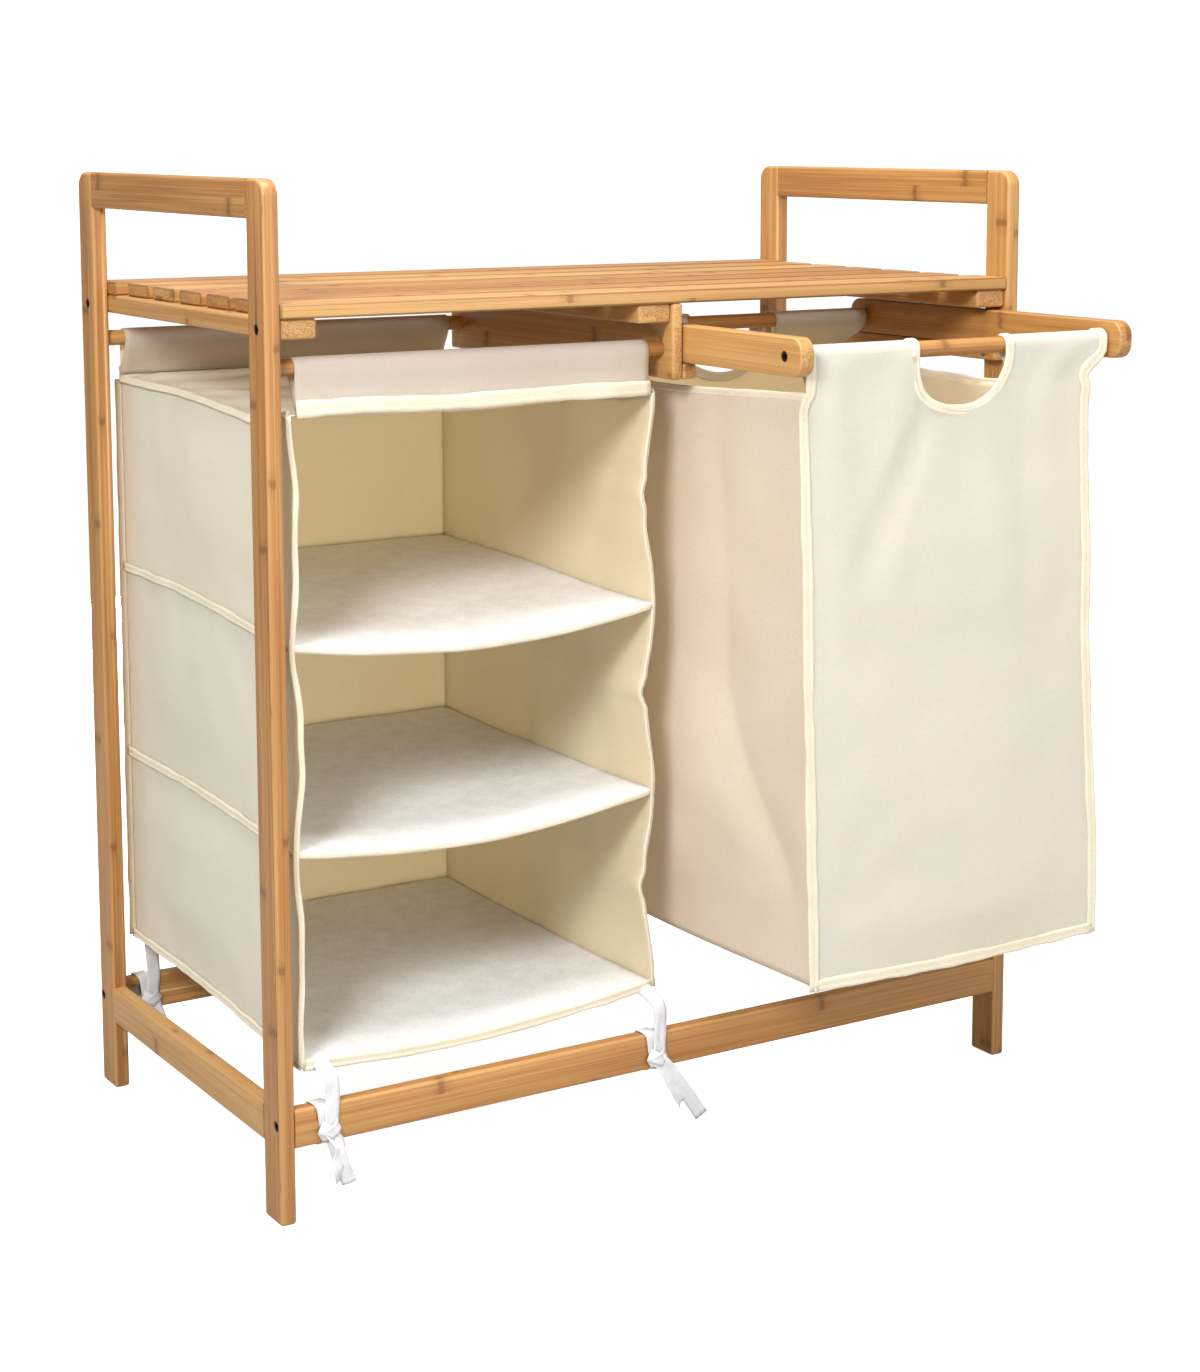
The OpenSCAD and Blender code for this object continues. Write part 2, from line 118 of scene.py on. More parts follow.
def studio_finish(name, colour, glow):
    """Matt paper, a little cloudy, that may glow."""
    material, tree, shader = new_finish(name)
    ramp = add_node(tree, "ShaderNodeValToRGB", {"Fac": noise_share(tree, piece_place(tree), 3.0)})
    ramp.color_ramp.elements[0].color = tint(*colour)
    ramp.color_ramp.elements[1].color = tint(*(c + 2 for c in colour))
    feed(tree, shader, {
        "Base Color": ramp.outputs["Color"], "Roughness": 0.9, "Specular IOR Level": 0.0,
        "Emission Color": PLAIN_WHITE, "Emission Strength": glow,
    })
    return material


def studio_piece(name, bm, material):
    """A part of the studio, which isn't part of the unit."""
    mesh = bpy.data.meshes.new(name)
    bm.to_mesh(mesh)
    bm.free()
    mesh.materials.append(material)
    made = bpy.data.objects.new(name, mesh)
    bpy.context.scene.collection.objects.link(made)
    return made


def only_seen(piece):
    """Shows to the camera alone, and gives and blocks no light."""
    for ray in ("diffuse", "glossy", "transmission", "shadow", "volume_scatter"):
        setattr(piece, "visible_" + ray, False)


def put_lamp(name, turn, rise, away, side, watts):
    """A square soft lamp that looks at the middle of the unit."""
    lamp = bpy.data.lights.new(name, "AREA")
    lamp.shape = "SQUARE"
    lamp.size = side
    lamp.energy = watts
    holder = bpy.data.objects.new(name, lamp)
    bpy.context.scene.collection.objects.link(holder)
    turn, rise = math.radians(turn), math.radians(rise)
    towards = Vector((math.sin(turn) * math.cos(rise), -math.cos(turn) * math.cos(rise), math.sin(rise)))
    holder.location = LAMPS_LOOK_AT + towards * away
    holder.rotation_euler = (-towards).to_track_quat("-Z", "Y").to_euler()
    return holder


camera_data = bpy.data.cameras.new("studio_camera")
camera_data.lens = CAMERA_LENS
camera_data.shift_x, camera_data.shift_y = CAMERA_SHIFT
camera = bpy.data.objects.new("studio_camera", camera_data)
bpy.context.scene.collection.objects.link(camera)
camera.location = CAMERA_PLACE
camera.rotation_euler = (math.radians(90 + CAMERA_TILT), 0, -math.radians(CAMERA_TURN))
bpy.context.scene.camera = camera

bpy.context.scene.view_settings.view_transform = "Standard"
put_lamp("key_lamp", **KEY_LAMP)
put_lamp("top_lamp", **TOP_LAMP)
put_lamp("fill_lamp", **FILL_LAMP)
# The lamp behind shines through the cloth and leaves no glare on the lacquer
put_lamp("rear_lamp", **REAR_LAMP).visible_glossy = False
surround = bpy.data.worlds.new("soft_surround")
surround.use_nodes = True
sky = surround.node_tree.nodes["Background"]
feed(surround.node_tree, sky, {"Color": PLAIN_WHITE, "Strength": SURROUND_LIGHT})
bpy.context.scene.world = surround

floor_bm = bmesh.new()
bmesh.ops.create_grid(floor_bm, x_segments=1, y_segments=1, size=STUDIO_FLOOR_SIDE / 2)
only_seen(studio_piece("studio_floor", floor_bm, studio_finish("pale_paper", PAPER_WHITE, STUDIO_FLOOR_GLOW)))
bounce_bm = bmesh.new()
lowered = Matrix.Translation((0, 0, -BOUNCE_FLOOR_DROP))
bmesh.ops.create_grid(bounce_bm, x_segments=1, y_segments=1, size=STUDIO_FLOOR_SIDE / 2, matrix=lowered)
bounce = studio_piece("bounce_floor", bounce_bm, studio_finish("dull_paper", PAPER_DULL, 0.0))
bounce.visible_camera = False
dome_bm = bmesh.new()
bmesh.ops.create_uvsphere(dome_bm, u_segments=48, v_segments=24, radius=DOME_RADIUS)
only_seen(studio_piece("white_dome", dome_bm, studio_finish("white_paper", PAPER_WHITE, DOME_GLOW)))

# ---- Side frames and lower rails ----
# Strips of laminated bamboo, sanded, with rounded edges and a clear satin lacquer. Posts and rails
# are dowelled and glued into two side frames, and two long rails are bolted between them.

POSTS = ("left_front_post", "left_rear_post", "right_front_post", "right_rear_post")
HANDLE_RAILS = ("left_handle_rail", "right_handle_rail")
SIDE_LOWER_RAILS = ("left_lower_rail", "right_lower_rail")
LONG_RAILS = ("front_lower_rail", "rear_lower_rail")
STRIP_ROUNDING = 0.0024
LAMELLA_WIDE = 0.014
LAMELLA_THICK = 0.0062
KNUCKLE_SPACING = 0.34
board_draws = random.Random(31)


def add_piece(name, bm, body, materials):
    """Makes the finished object of a mesh and lets it ride on a body."""
    mesh = bpy.data.meshes.new(name)
    bm.to_mesh(mesh)
    bm.free()
    piece = bpy.data.objects.new(name, mesh)
    bpy.context.scene.collection.objects.link(piece)
    for material in materials:
        mesh.materials.append(material)
    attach(piece, body)
    return piece


def calc(tree, operation, a, b=0.0, c=0.0):
    """The result of a Math node."""
    return add_node(tree, "ShaderNodeMath", {0: a, 1: b, 2: c}, operation=operation).outputs[0]


def stretch(tree, vector, scale):
    """A vector multiplied by a fixed one."""
    return add_node(tree, "ShaderNodeVectorMath", {0: vector, 1: scale}, operation="MULTIPLY").outputs[0]


def fade(tree, value, start, end):
    """Runs from 0 at start to 1 at end, smoothly."""
    made = add_node(tree, "ShaderNodeMapRange", {"Value": value, "From Min": start, "From Max": end})
    made.interpolation_type = "SMOOTHSTEP"
    return made.outputs["Result"]


def mix_colour(tree, share, a, b, blend_type="MIX"):
    """Two colours mixed by a share."""
    made = add_node(tree, "ShaderNodeMix", {0: share, 6: a, 7: b}, data_type="RGBA", blend_type=blend_type)
    return made.outputs[2]


def ramp_colour(tree, share, *stops):
    """A colour ramp through (position, colour) stops."""
    made = add_node(tree, "ShaderNodeValToRGB", {"Fac": share})
    elements = made.color_ramp.elements
    while len(elements) < len(stops):
        elements.new(0.5)
    for element, (position, colour) in zip(elements, stops):
        element.position = position
        element.color = colour
    return made.outputs["Color"]


def add_bump(tree, shader, height, distance, strength=1.0):
    """Relief from a height."""
    made = add_node(tree, "ShaderNodeBump", {"Height": height, "Distance": distance, "Strength": strength})
    tree.links.new(made.outputs["Normal"], shader.inputs["Normal"])


def bamboo_finish(name, across_the_grain):
    """Lacquered bamboo: lamellas glued side by side, fine fibres, and darker knuckles here and there."""
    material, tree, shader = new_finish(name)
    grain = add_node(tree, "ShaderNodeAttribute", attribute_name="grain").outputs["Vector"]
    board = add_node(tree, "ShaderNodeAttribute", attribute_name="board").outputs["Fac"]
    edge_wear_and_light = add_node(tree, "ShaderNodeAttribute", attribute_name="edge").outputs["Fac"]

    cell = stretch(tree, grain, (0.0, 1 / LAMELLA_WIDE, 1 / LAMELLA_THICK))
    cell = add_node(tree, "ShaderNodeVectorMath", {0: cell}, operation="FLOOR").outputs[0]
    lamella = add_node(tree, "ShaderNodeTexWhiteNoise", {"Vector": cell}, noise_dimensions="3D")
    fibres = noise_share(tree, stretch(tree, grain, (5.0, 1100.0, 1100.0)), 1.0, Detail=3.0, Roughness=0.65)
    streaks = noise_share(tree, stretch(tree, grain, (4.0, 260.0, 260.0)), 1.0, Detail=2.0, Roughness=0.6)
    clouds = noise_share(tree, stretch(tree, grain, (7.0, 40.0, 40.0)), 1.0, Detail=1.0)

    if across_the_grain:
        section = stretch(tree, grain, (0.0, 1.0, 1.0))
        dots = add_node(tree, "ShaderNodeTexVoronoi", {"Vector": section, "Scale": 900.0}).outputs["Distance"]
        tone = calc(tree, "MULTIPLY_ADD", fade(tree, dots, 0.15, 0.5), 0.5, 0.1)
        relief = dots
    else:
        tone = calc(tree, "MULTIPLY_ADD", fibres, 0.42, 0.02)
        tone = calc(tree, "MULTIPLY_ADD", streaks, 0.46, tone)
        tone = calc(tree, "MULTIPLY_ADD", clouds, 0.14, tone)
        relief = fibres
    tone = calc(tree, "MULTIPLY_ADD", lamella.outputs["Value"], 0.10, tone)
    tone = calc(tree, "MULTIPLY_ADD", board, 0.10, tone)
    colour = ramp_colour(
        tree, tone,
        (0.30, tint(140, 86, 40)), (0.46, tint(169, 114, 58)), (0.60, tint(188, 138, 78)),
        (0.80, tint(207, 164, 104)),
    )

    # A knuckle is a thin dark ring where the cane had a joint, with a paler band on each side of it
    shift = calc(tree, "MULTIPLY_ADD", lamella.outputs["Value"], 7.0, board)
    wobble = noise_share(tree, stretch(tree, grain, (0.0, 300.0, 300.0)), 1.0)
    along = add_node(tree, "ShaderNodeSeparateXYZ", {0: grain}).outputs[0]
    along = calc(tree, "MULTIPLY_ADD", wobble, 0.006, along)
    turn = calc(tree, "MULTIPLY_ADD", along, 1 / KNUCKLE_SPACING, shift)
    off = calc(tree, "ABSOLUTE", calc(tree, "SUBTRACT", calc(tree, "FRACT", turn), 0.5))
    off = calc(tree, "MULTIPLY", off, KNUCKLE_SPACING)
    halo = fade(tree, off, 0.013, 0.003)
    ring = fade(tree, off, 0.0042, 0.0012)
    # Edge tone: the frames' rounded edges are painted paler, partly wear and partly painted highlight, and
    # the slats' edges darker, painted shade for the gaps between them
    pale_edge_wear_and_highlight, dark_edge_painted_shade = fade(tree, edge_wear_and_light, 0.0, 1.0), fade(tree, edge_wear_and_light, 0.0, -1.0)
    for mark, strength, shade in (
        (halo, 0.28, tint(146, 90, 45)), (ring, 0.48, tint(104, 62, 32)),
        (pale_edge_wear_and_highlight, 0.16, tint(222, 184, 130)), (dark_edge_painted_shade, 0.60, tint(96, 56, 26)),
    ):
        colour = mix_colour(tree, calc(tree, "MULTIPLY", mark, strength), colour, shade)

    roughness = calc(tree, "MULTIPLY_ADD", streaks, 0.22, 0.34)
    lacquer = {"Roughness": roughness, "Coat Weight": 0.12, "Coat Roughness": 0.28}
    feed(tree, shader, {"Base Color": colour, **lacquer})
    add_bump(tree, shader, calc(tree, "MULTIPLY_ADD", ring, -0.7, relief), 0.00025, 0.7)
    return material


def lay_grain(bm, axis):
    """Writes each point's place along the strip, across it and through it, shifted from board to board."""
    sizes = [max(v.co[k] for v in bm.verts) - min(v.co[k] for v in bm.verts) for k in range(3)]
    across, through = sorted((k for k in range(3) if k != axis), key=lambda k: -sizes[k])
    middle = [sum(v.co[k] for v in bm.verts) / len(bm.verts) for k in (across, through)]
    start = Vector((
        board_draws.uniform(0, 9),
        board_draws.randint(0, 90) * LAMELLA_WIDE - middle[0],
        board_draws.randint(0, 90) * LAMELLA_THICK - middle[1],
    ))
    tone = board_draws.uniform(-1, 1)
    grain = bm.verts.layers.float_vector.new("grain")
    board = bm.verts.layers.float.new("board")
    for v in bm.verts:
        v[grain] = start + Vector((v.co[axis], v.co[across], v.co[through]))
        v[board] = tone


def bamboo_piece(node, axis, body="cabinet", rounding=STRIP_ROUNDING, round_ends=True, edge_tone=1.0):
    """The strip of a CAD node, its outer edges rounded over and its bores left sharp. An edge tone of 1
    paints the frames' rounded edges paler, partly wear and partly painted highlight, and -1 paints the
    slats' edges darker, as painted shade for the gaps between them."""
    bm = bmesh.new()
    bm.from_mesh(nodes[node].data)
    bmesh.ops.remove_doubles(bm, verts=bm.verts, dist=1e-6)
    bmesh.ops.dissolve_limit(bm, angle_limit=math.radians(1), verts=bm.verts, edges=bm.edges)
    bm.normal_update()
    lay_grain(bm, axis)

    points = np.array([v.co for v in bm.verts])
    reach = (points @ np.array([f.normal for f in bm.faces]).T).max(axis=0)
    outside = {f.index for f, far in zip(bm.faces, reach) if far - f.verts[0].co.dot(f.normal) < 1e-5}
    rounded = []
    for edge in bm.edges:
        lengthwise = abs((edge.verts[0].co - edge.verts[1].co).normalized()[axis]) > 0.99
        if edge.calc_face_angle(0) < math.radians(40) or not (lengthwise or round_ends):
            continue
        if all(f.index in outside for f in edge.link_faces):
            rounded.append(edge)
    edge_layer = bm.verts.layers.float.new("edge")
    for face in bm.faces:
        face.smooth = max(abs(n) for n in face.normal) < 0.9999
    made = bmesh.ops.bevel(
        bm, geom=rounded, offset=rounding, offset_type="OFFSET", affect="EDGES", segments=4, profile=0.5,
        clamp_overlap=False, material=-1,
    )
    for face in made["faces"]:
        face.smooth = True
    bevelled = set(made["faces"])
    for v in made["verts"]:
        if all(f in bevelled for f in v.link_faces):
            v[edge_layer] = edge_tone
    for face in bm.faces:
        face.material_index = int(abs(face.normal[axis]) > 0.95)
    piece = add_piece(node + "_bamboo", bm, body, (bamboo, bamboo_ends))
    piece.data.set_sharp_from_angle(angle=math.radians(32))
    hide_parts(node)
    return piece


bamboo = bamboo_finish("lacquered_bamboo", False)
bamboo_ends = bamboo_finish("lacquered_bamboo_ends", True)
ALONG_X, ALONG_Y, ALONG_Z = 0, 1, 2
for post in POSTS:
    bamboo_piece(post, ALONG_Z)
for rail in HANDLE_RAILS + SIDE_LOWER_RAILS:
    bamboo_piece(rail, ALONG_Y, round_ends=False)
for rail in LONG_RAILS:
    bamboo_piece(rail, ALONG_X, round_ends=False)

# ---- Shelf ----
# Seven long bamboo slats with gaps between them, screwed from below onto three battens. The slats'
# rounded edges are painted darker, as painted shade for the shadowed gaps between them.

SLAT_ROUNDING = 0.0018
# The slats' dark edge tone is painted shade
for number in range(1, 8):
    bamboo_piece(f"shelf_slat_{number}", ALONG_X, rounding=SLAT_ROUNDING, edge_tone=-1.0)
for batten in ("left_batten", "middle_batten", "right_batten"):
    bamboo_piece(batten, ALONG_Y)

# ---- Divider board, runners and rods ----
# A thin bamboo board hangs from the middle batten, and a square runner is screwed along its foot;
# its twin is on the right side frame. Turned rods carry the organiser, and dowels pin the side frames.

bamboo_piece("divider_board", ALONG_Y)
for runner in ("left_runner", "right_runner"):
    bamboo_piece(runner, ALONG_Y)
for rod in ("organiser_front_rod", "organiser_rear_rod"):
    bamboo_piece(rod, ALONG_X, rounding=0.0006)
bamboo_piece("frame_dowels", ALONG_Y, rounding=0.0004)

# ---- Pull-out frame ----
# Two bamboo bars with rounded ends ride on the runners. A turned rod is bolted between them at each
# end, and the laundry bag hangs on the rods.

for bar in ("pullout_left_rail", "pullout_right_rail"):
    bamboo_piece(bar, ALONG_Y, body="pullout", rounding=0.0015)
for rod in ("pullout_front_rod", "pullout_rear_rod"):
    bamboo_piece(rod, ALONG_X, body="pullout", rounding=0.0006)

# ---- Bolts, nuts and screws ----
# Blackened steel socket bolts in stepped holes, turned barrel nuts inside the rails and battens,
# and zinc-plated wood screws.


def steel_finish(name, colour, roughness, metal):
    """Plated or blackened steel with fine turning marks and a little wear."""
    material, tree, shader = new_finish(name)
    spots = noise_share(tree, piece_place(tree), 900.0, Detail=2.0)
    shade = ramp_colour(tree, spots, (0.3, tint(*(c * 0.7 for c in colour))), (0.75, tint(*colour)))
    rubbed = calc(tree, "MULTIPLY_ADD", spots, 0.25, roughness)
    feed(tree, shader, {"Base Color": shade, "Roughness": rubbed, "Metallic": metal})
    add_bump(tree, shader, spots, 0.00005)
    return material


black_steel = steel_finish("blackened_steel", (70, 66, 62), 0.35, 0.9)
zinc_steel = steel_finish("zinc_plated_steel", (176, 174, 168), 0.28, 1.0)
for hardware, finish in (
    ("frame_bolts", black_steel), ("pullout_bolts", black_steel), ("barrel_nuts", zinc_steel),
    ("slat_screws", zinc_steel), ("divider_screws", zinc_steel), ("runner_screws", zinc_steel),
):
    for place in nodes[hardware].material_slots:
        place.material = finish

# ---- Laundry bag ----
# One empty bag of cream polyester cloth that hangs from two rods. The front and back panels end in
# sleeves with a U-shaped hand cut-out, and the corners, hems and front and rear foot have cream tape.

CLOTH_SHEEN = 0.12
CLOTH_THICK = 0.0012
BAG_TAPE = 0.009
TAPE_AROUND = 16
STITCH_PITCH = 0.0042
STITCH_LONG = 0.0028
THREAD_THICK = 0.0005
END_WORD = {True: "front", False: "back"}
SIDE_WORD = {True: "left", False: "right"}


def node_span(node, axis):
    """The middle of a CAD node along an axis, and half its size there."""
    low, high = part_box(node)
    return (low[axis] + high[axis]) / 2, (high[axis] - low[axis]) / 2


panel_low, panel_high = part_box("bag_front_panel")
bag_left, bag_right, bag_bottom = panel_low.x, panel_high.x, panel_low.z
# The rear edges of the side and bottom panels, and the height of the bottom seams
bag_back_left, bag_back_right = bag_left + 0.0015, bag_right - 0.0020
bag_seam_z = bag_bottom + 0.0045
front_rod_y = node_span("pullout_front_rod", ALONG_Y)[0]
back_rod_y = node_span("pullout_rear_rod", ALONG_Y)[0]
bag_rod_z, rod_r = node_span("pullout_front_rod", ALONG_Z)
CUTOUT_MID = 0.1625
CUTOUT_HALF = 0.044
CUTOUT_TOP = 0.600
CUTOUT_DEEP = 0.040
SLEEVE_SEAM = 0.579
# Folds under the rod: share across at the rod, lean on the way down, depth
SLEEVE_FOLDS = ((0.10, 0.05, 0.0014), (0.335, -0.16, 0.0012), (0.62, 0.20, 0.0013), (0.86, -0.04, 0.0012))


def ease(t, *stops):
    """Passes smoothly through (place, value) stops."""
    if t <= stops[0][0]:
        return stops[0][1]
    for (t0, v0), (t1, v1) in zip(stops, stops[1:]):
        if t <= t1:
            share = (t - t0) / (t1 - t0)
            return v0 + (v1 - v0) * share * share * (3 - 2 * share)
    return stops[-1][1]


def arch(t):
    """Half a sine wave, 1 at the middle and 0 at both ends."""
    return math.sin(math.pi * t)


def hill(t, middle, half):
    """A smooth hill, 1 at the middle and 0 from half away."""
    off = abs(t - middle) / half
    return 0.0 if off >= 1 else (1 - off * off) ** 2


def ripple(x, y, seed, size):
    """Smooth random height from -1 to 1 over a cloth, with bumps of about that size."""
    return noise.noise(Vector((x / size, y / size, seed * 3.7)))


def cloth_finish(name, colour, other, glow, share_through, weave=0.0009):
    """Woven cloth in two close tints that lets a share of the light through, on the piece's own flat
    pattern in metres. The colours are given as 0 to 255 a channel."""
    material, tree, shader = new_finish(name)
    colour, other, glow = tint(*colour), tint(*other), tint(*glow)
    flat = add_node(tree, "ShaderNodeUVMap", uv_map="flat").outputs["UV"]
    cloud = noise_share(tree, flat, 9.0, Detail=2.0)
    mottle = noise_share(tree, flat, 260.0, Detail=3.0, Roughness=0.7)
    threads = []
    for direction in ((1.0, 0.06, 0.0), (0.06, 1.0, 0.0)):
        line = add_node(tree, "ShaderNodeVectorMath", {0: flat, 1: direction}, operation="DOT_PRODUCT")
        run = calc(tree, "MULTIPLY", line.outputs["Value"], 2 * math.pi / weave)
        phase = calc(tree, "MULTIPLY_ADD", mottle, 1.6, run)
        threads.append(calc(tree, "MULTIPLY_ADD", calc(tree, "SINE", phase), 0.5, 0.5))
    weft = calc(tree, "MULTIPLY", threads[0], threads[1])
    shade = mix_colour(tree, fade(tree, cloud, 0.35, 0.65), colour, other)
    speck = calc(tree, "MULTIPLY", weft, 0.05)
    speck = calc(tree, "MULTIPLY_ADD", fade(tree, mottle, 0.35, 0.7), 0.10, speck)
    shade = mix_colour(tree, speck, shade, tuple(0.55 * c for c in colour[:3]) + (1.0,))
    feed(tree, shader, {
        "Base Color": shade, "Roughness": calc(tree, "MULTIPLY_ADD", mottle, 0.15, 0.78),
        "Specular IOR Level": 0.25, "Sheen Weight": CLOTH_SHEEN, "Sheen Roughness": 0.5,
    })
    add_bump(tree, shader, calc(tree, "MULTIPLY_ADD", mottle, 0.8, weft), 0.00012)
    if share_through:
        through = add_node(tree, "ShaderNodeBsdfTranslucent", {"Color": glow})
        shares = {0: share_through, 1: shader.outputs["BSDF"], 2: through.outputs["BSDF"]}
        both = add_node(tree, "ShaderNodeMixShader", shares)
        tree.links.new(both.outputs[0], tree.nodes["Material Output"].inputs["Surface"])
    return material


def smooth_all(bm):
    """Shades every face of a mesh smooth."""
    for face in bm.faces:
        face.smooth = True


def grid_share(place):
    """How far across and along a spot of a flat grid lies, both 0 to 1."""
    return (place.x + 1) / 2, (place.y + 1) / 2


def cloth_piece(
    name, node, grid, flat, shape, outside, body, materials=None, thick=CLOTH_THICK, gone=None, spread=None
):
    """The cloth of a CAD node, laid out flat as a grid, then carried to its hung shape: shape(s, t)
    gives the place of the spot at s across and t along, both 0 to 1. outside is roughly where its right
    side looks, gone says which spots are cut away, and spread gives a spot's true share across where s
    isn't it. The materials are the right side's and the wrong side's; if none are given, cream cloth
    and its warmer copy, painted shade for the inside."""
    bm = bmesh.new()
    bmesh.ops.create_grid(bm, x_segments=grid[0], y_segments=grid[1], size=1.0)
    if gone:
        cut = [f for f in bm.faces if gone(*grid_share(f.calc_center_median()))]
        bmesh.ops.delete(bm, geom=cut, context="FACES")
    uv = bm.loops.layers.uv.new("flat")
    for face in bm.faces:
        for loop in face.loops:
            s, t = grid_share(loop.vert.co)
            loop[uv].uv = ((spread(s) if spread else s) * flat[0], t * flat[1])
    for v in bm.verts:
        v.co = shape(*grid_share(v.co))
    bm.normal_update()
    if sum(f.normal.dot(Vector(outside)) * f.calc_area() for f in bm.faces) < 0:
        bmesh.ops.reverse_faces(bm, faces=bm.faces)
    smooth_all(bm)
    piece = add_piece(name, bm, body, materials or (cream_cloth, inside_shade_cloth))
    wall = piece.modifiers.new("cloth_thickness", "SOLIDIFY")
    wall.thickness = thick
    wall.offset = -1.0
    wall.material_offset = 1
    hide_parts(node)
    return piece


def path_run(path):
    """The length of a path up to each of its points."""
    run = [0.0]
    for a, b in zip(path, path[1:]):
        run.append(run[-1] + (b - a).length)
    return run


def path_frames(path, facing):
    """For each point of a path: its place, its direction, the band's flat side and its width direction.
    facing is one direction, a list of one for each point, or a function of the share of the way."""
    frames = []
    for k, point in enumerate(path):
        ahead = (path[min(k + 1, len(path) - 1)] - path[max(k - 1, 0)]).normalized()
        if callable(facing):
            up = facing(k / (len(path) - 1))
        else:
            up = Vector(facing[k] if len(facing) > 3 else facing)
        across = ahead.cross(up).normalized()
        frames.append((point, ahead, across.cross(ahead).normalized(), across))
    return frames


def bound_edge(name, path, facing, body, width=BAG_TAPE, thick=0.0026, seed=1, groove=0.45):
    """Tape folded over a seam: an oval band with a shallow groove where one row of stitches holds it."""
    frames, run = path_frames(path, facing), path_run(path)
    bm = bmesh.new()
    bmesh.ops.create_grid(bm, x_segments=TAPE_AROUND, y_segments=len(path) - 1, size=1.0)
    uv = bm.loops.layers.uv.new("flat")

    def swell(k):
        """How full the tape is at a point of its path."""
        return 1 + 0.22 * ripple(run[k], seed, seed, 0.021)

    def lean(k):
        """How far the tape stands off at a point of its path."""
        return 0.0006 * ripple(run[k], seed + 9, seed, 0.013)

    for face in bm.faces:
        for loop in face.loops:
            k = round((loop.vert.co.y + 1) / 2 * (len(path) - 1))
            loop[uv].uv = ((loop.vert.co.x + 1) * width, run[k])
    for v in bm.verts:
        turn = (v.co.x + 1) * math.pi
        k = round((v.co.y + 1) / 2 * (len(path) - 1))
        point, ahead, up, across = frames[k]
        pressed = 1 - groove * hill(math.cos(turn), 0.0, 0.55)
        v.co = point + across * (math.cos(turn) * width / 2 * swell(k))
        v.co += up * (math.sin(turn) * thick / 2 * swell(k) * pressed + lean(k))
    bmesh.ops.remove_doubles(bm, verts=bm.verts, dist=1e-6)
    bmesh.ops.holes_fill(bm, edges=[e for e in bm.edges if e.is_boundary], sides=TAPE_AROUND + 2)
    bmesh.ops.recalc_face_normals(bm, faces=bm.faces)
    smooth_all(bm)
    for side in (1, -1):
        for number in range(int(run[-1] / STITCH_PITCH)):
            here = (number + 0.5) * STITCH_PITCH
            k = max(j for j in range(len(run)) if run[j] <= here)
            k = min(k, len(path) - 2)
            share = (here - run[k]) / (run[k + 1] - run[k])
            point = path[k].lerp(path[k + 1], share)
            _, ahead, up, across = frames[k]
            centre = point + up * (side * thick / 2 * swell(k) * (1 - groove) + lean(k))
            turned = Matrix((across, ahead, up)).transposed().to_4x4()
            sized = Matrix.Diagonal((THREAD_THICK, STITCH_LONG, THREAD_THICK, 1))
            placed = Matrix.Translation(centre) @ turned @ sized
            made = bmesh.ops.create_cube(bm, size=1.0, matrix=placed)
            for v in made["verts"]:
                for face in v.link_faces:
                    face.material_index = 1
    return add_piece(name, bm, body, (binding_tape, thread))


cream_cloth = cloth_finish("cream_cloth", (239, 241, 233), (236, 240, 230), (253, 240, 212), 0.40)
# The wrong side of the cloth panels is the same cloth painted warmer and tanner: painted shade for the shaded
# inside of the bag and the organiser
inside_shade_cloth = cloth_finish("cream_cloth_inside_shade", (246, 236, 210), (243, 231, 203), (253, 238, 206), 0.40)
# The bag's side panels are the same cloth as the front, painted darker and warmer: painted shade
side_shade_cloth = cloth_finish("cream_cloth_side_shade", (231, 216, 198), (226, 211, 191), (253, 234, 204), 0.16)
# The organiser's rod sleeves are the same cloth painted greyer and darker: painted shade for the shadow under
# the shelf
sleeve_shade_cloth = cloth_finish("cream_cloth_sleeve_shade", (224, 216, 206), (219, 210, 199), (253, 240, 212), 0.36)
binding_tape = cloth_finish("binding_tape", (238, 228, 205), (232, 220, 194), (240, 228, 200), 0.0, 0.0006)
thread = cloth_finish("stitching_thread", (228, 219, 197), (220, 210, 186), (240, 228, 200), 0.0, 0.0004)


def bag_left_x(z):
    """The left edge of the front and back panels at a height."""
    low = (0.148, 0.0286), (0.26, 0.0250), (0.42, 0.0227)
    return ease(z, *low, (0.568, 0.0196), (0.581, bag_left), (0.60, bag_left))


def bag_right_x(z):
    """The right edge of the front and back panels at a height."""
    return ease(z, (0.148, 0.2925), (0.42, 0.2815), (0.560, 0.2785), (0.580, 0.2800), (0.600, bag_right))


def bag_front_y(z):
    """The front panel's depth at its side seams."""
    hung = front_rod_y - rod_r - CLOTH_THICK
    return hung - ease(z, (0.148, 0.0066), (0.20, 0.0074), (0.42, 0.0036), (0.56, 0.0006), (0.60, 0.0))


def bag_back_y(z):
    """The back panel's depth at its side seams."""
    hung = back_rod_y + rod_r + CLOTH_THICK
    return hung + ease(z, (0.148, 0.0030), (0.30, 0.0040), (0.56, 0.0006), (0.60, 0.0))


def bag_low_z(share):
    """The bag's bottom edge, which hangs a little lower between its corners."""
    return bag_seam_z - 0.0025 * hill(share, 0.5, 0.5)


def cutout_depth(share):
    """Depth of the hand cut-out at a share of its way round: a tight left corner and a slanted right side."""
    turn = math.pi * (min(1.0, max(0.0, share)) - 0.5)
    return CUTOUT_DEEP * max(0.0, math.cos(turn)) ** (0.6 if turn < 0 else 1.15)


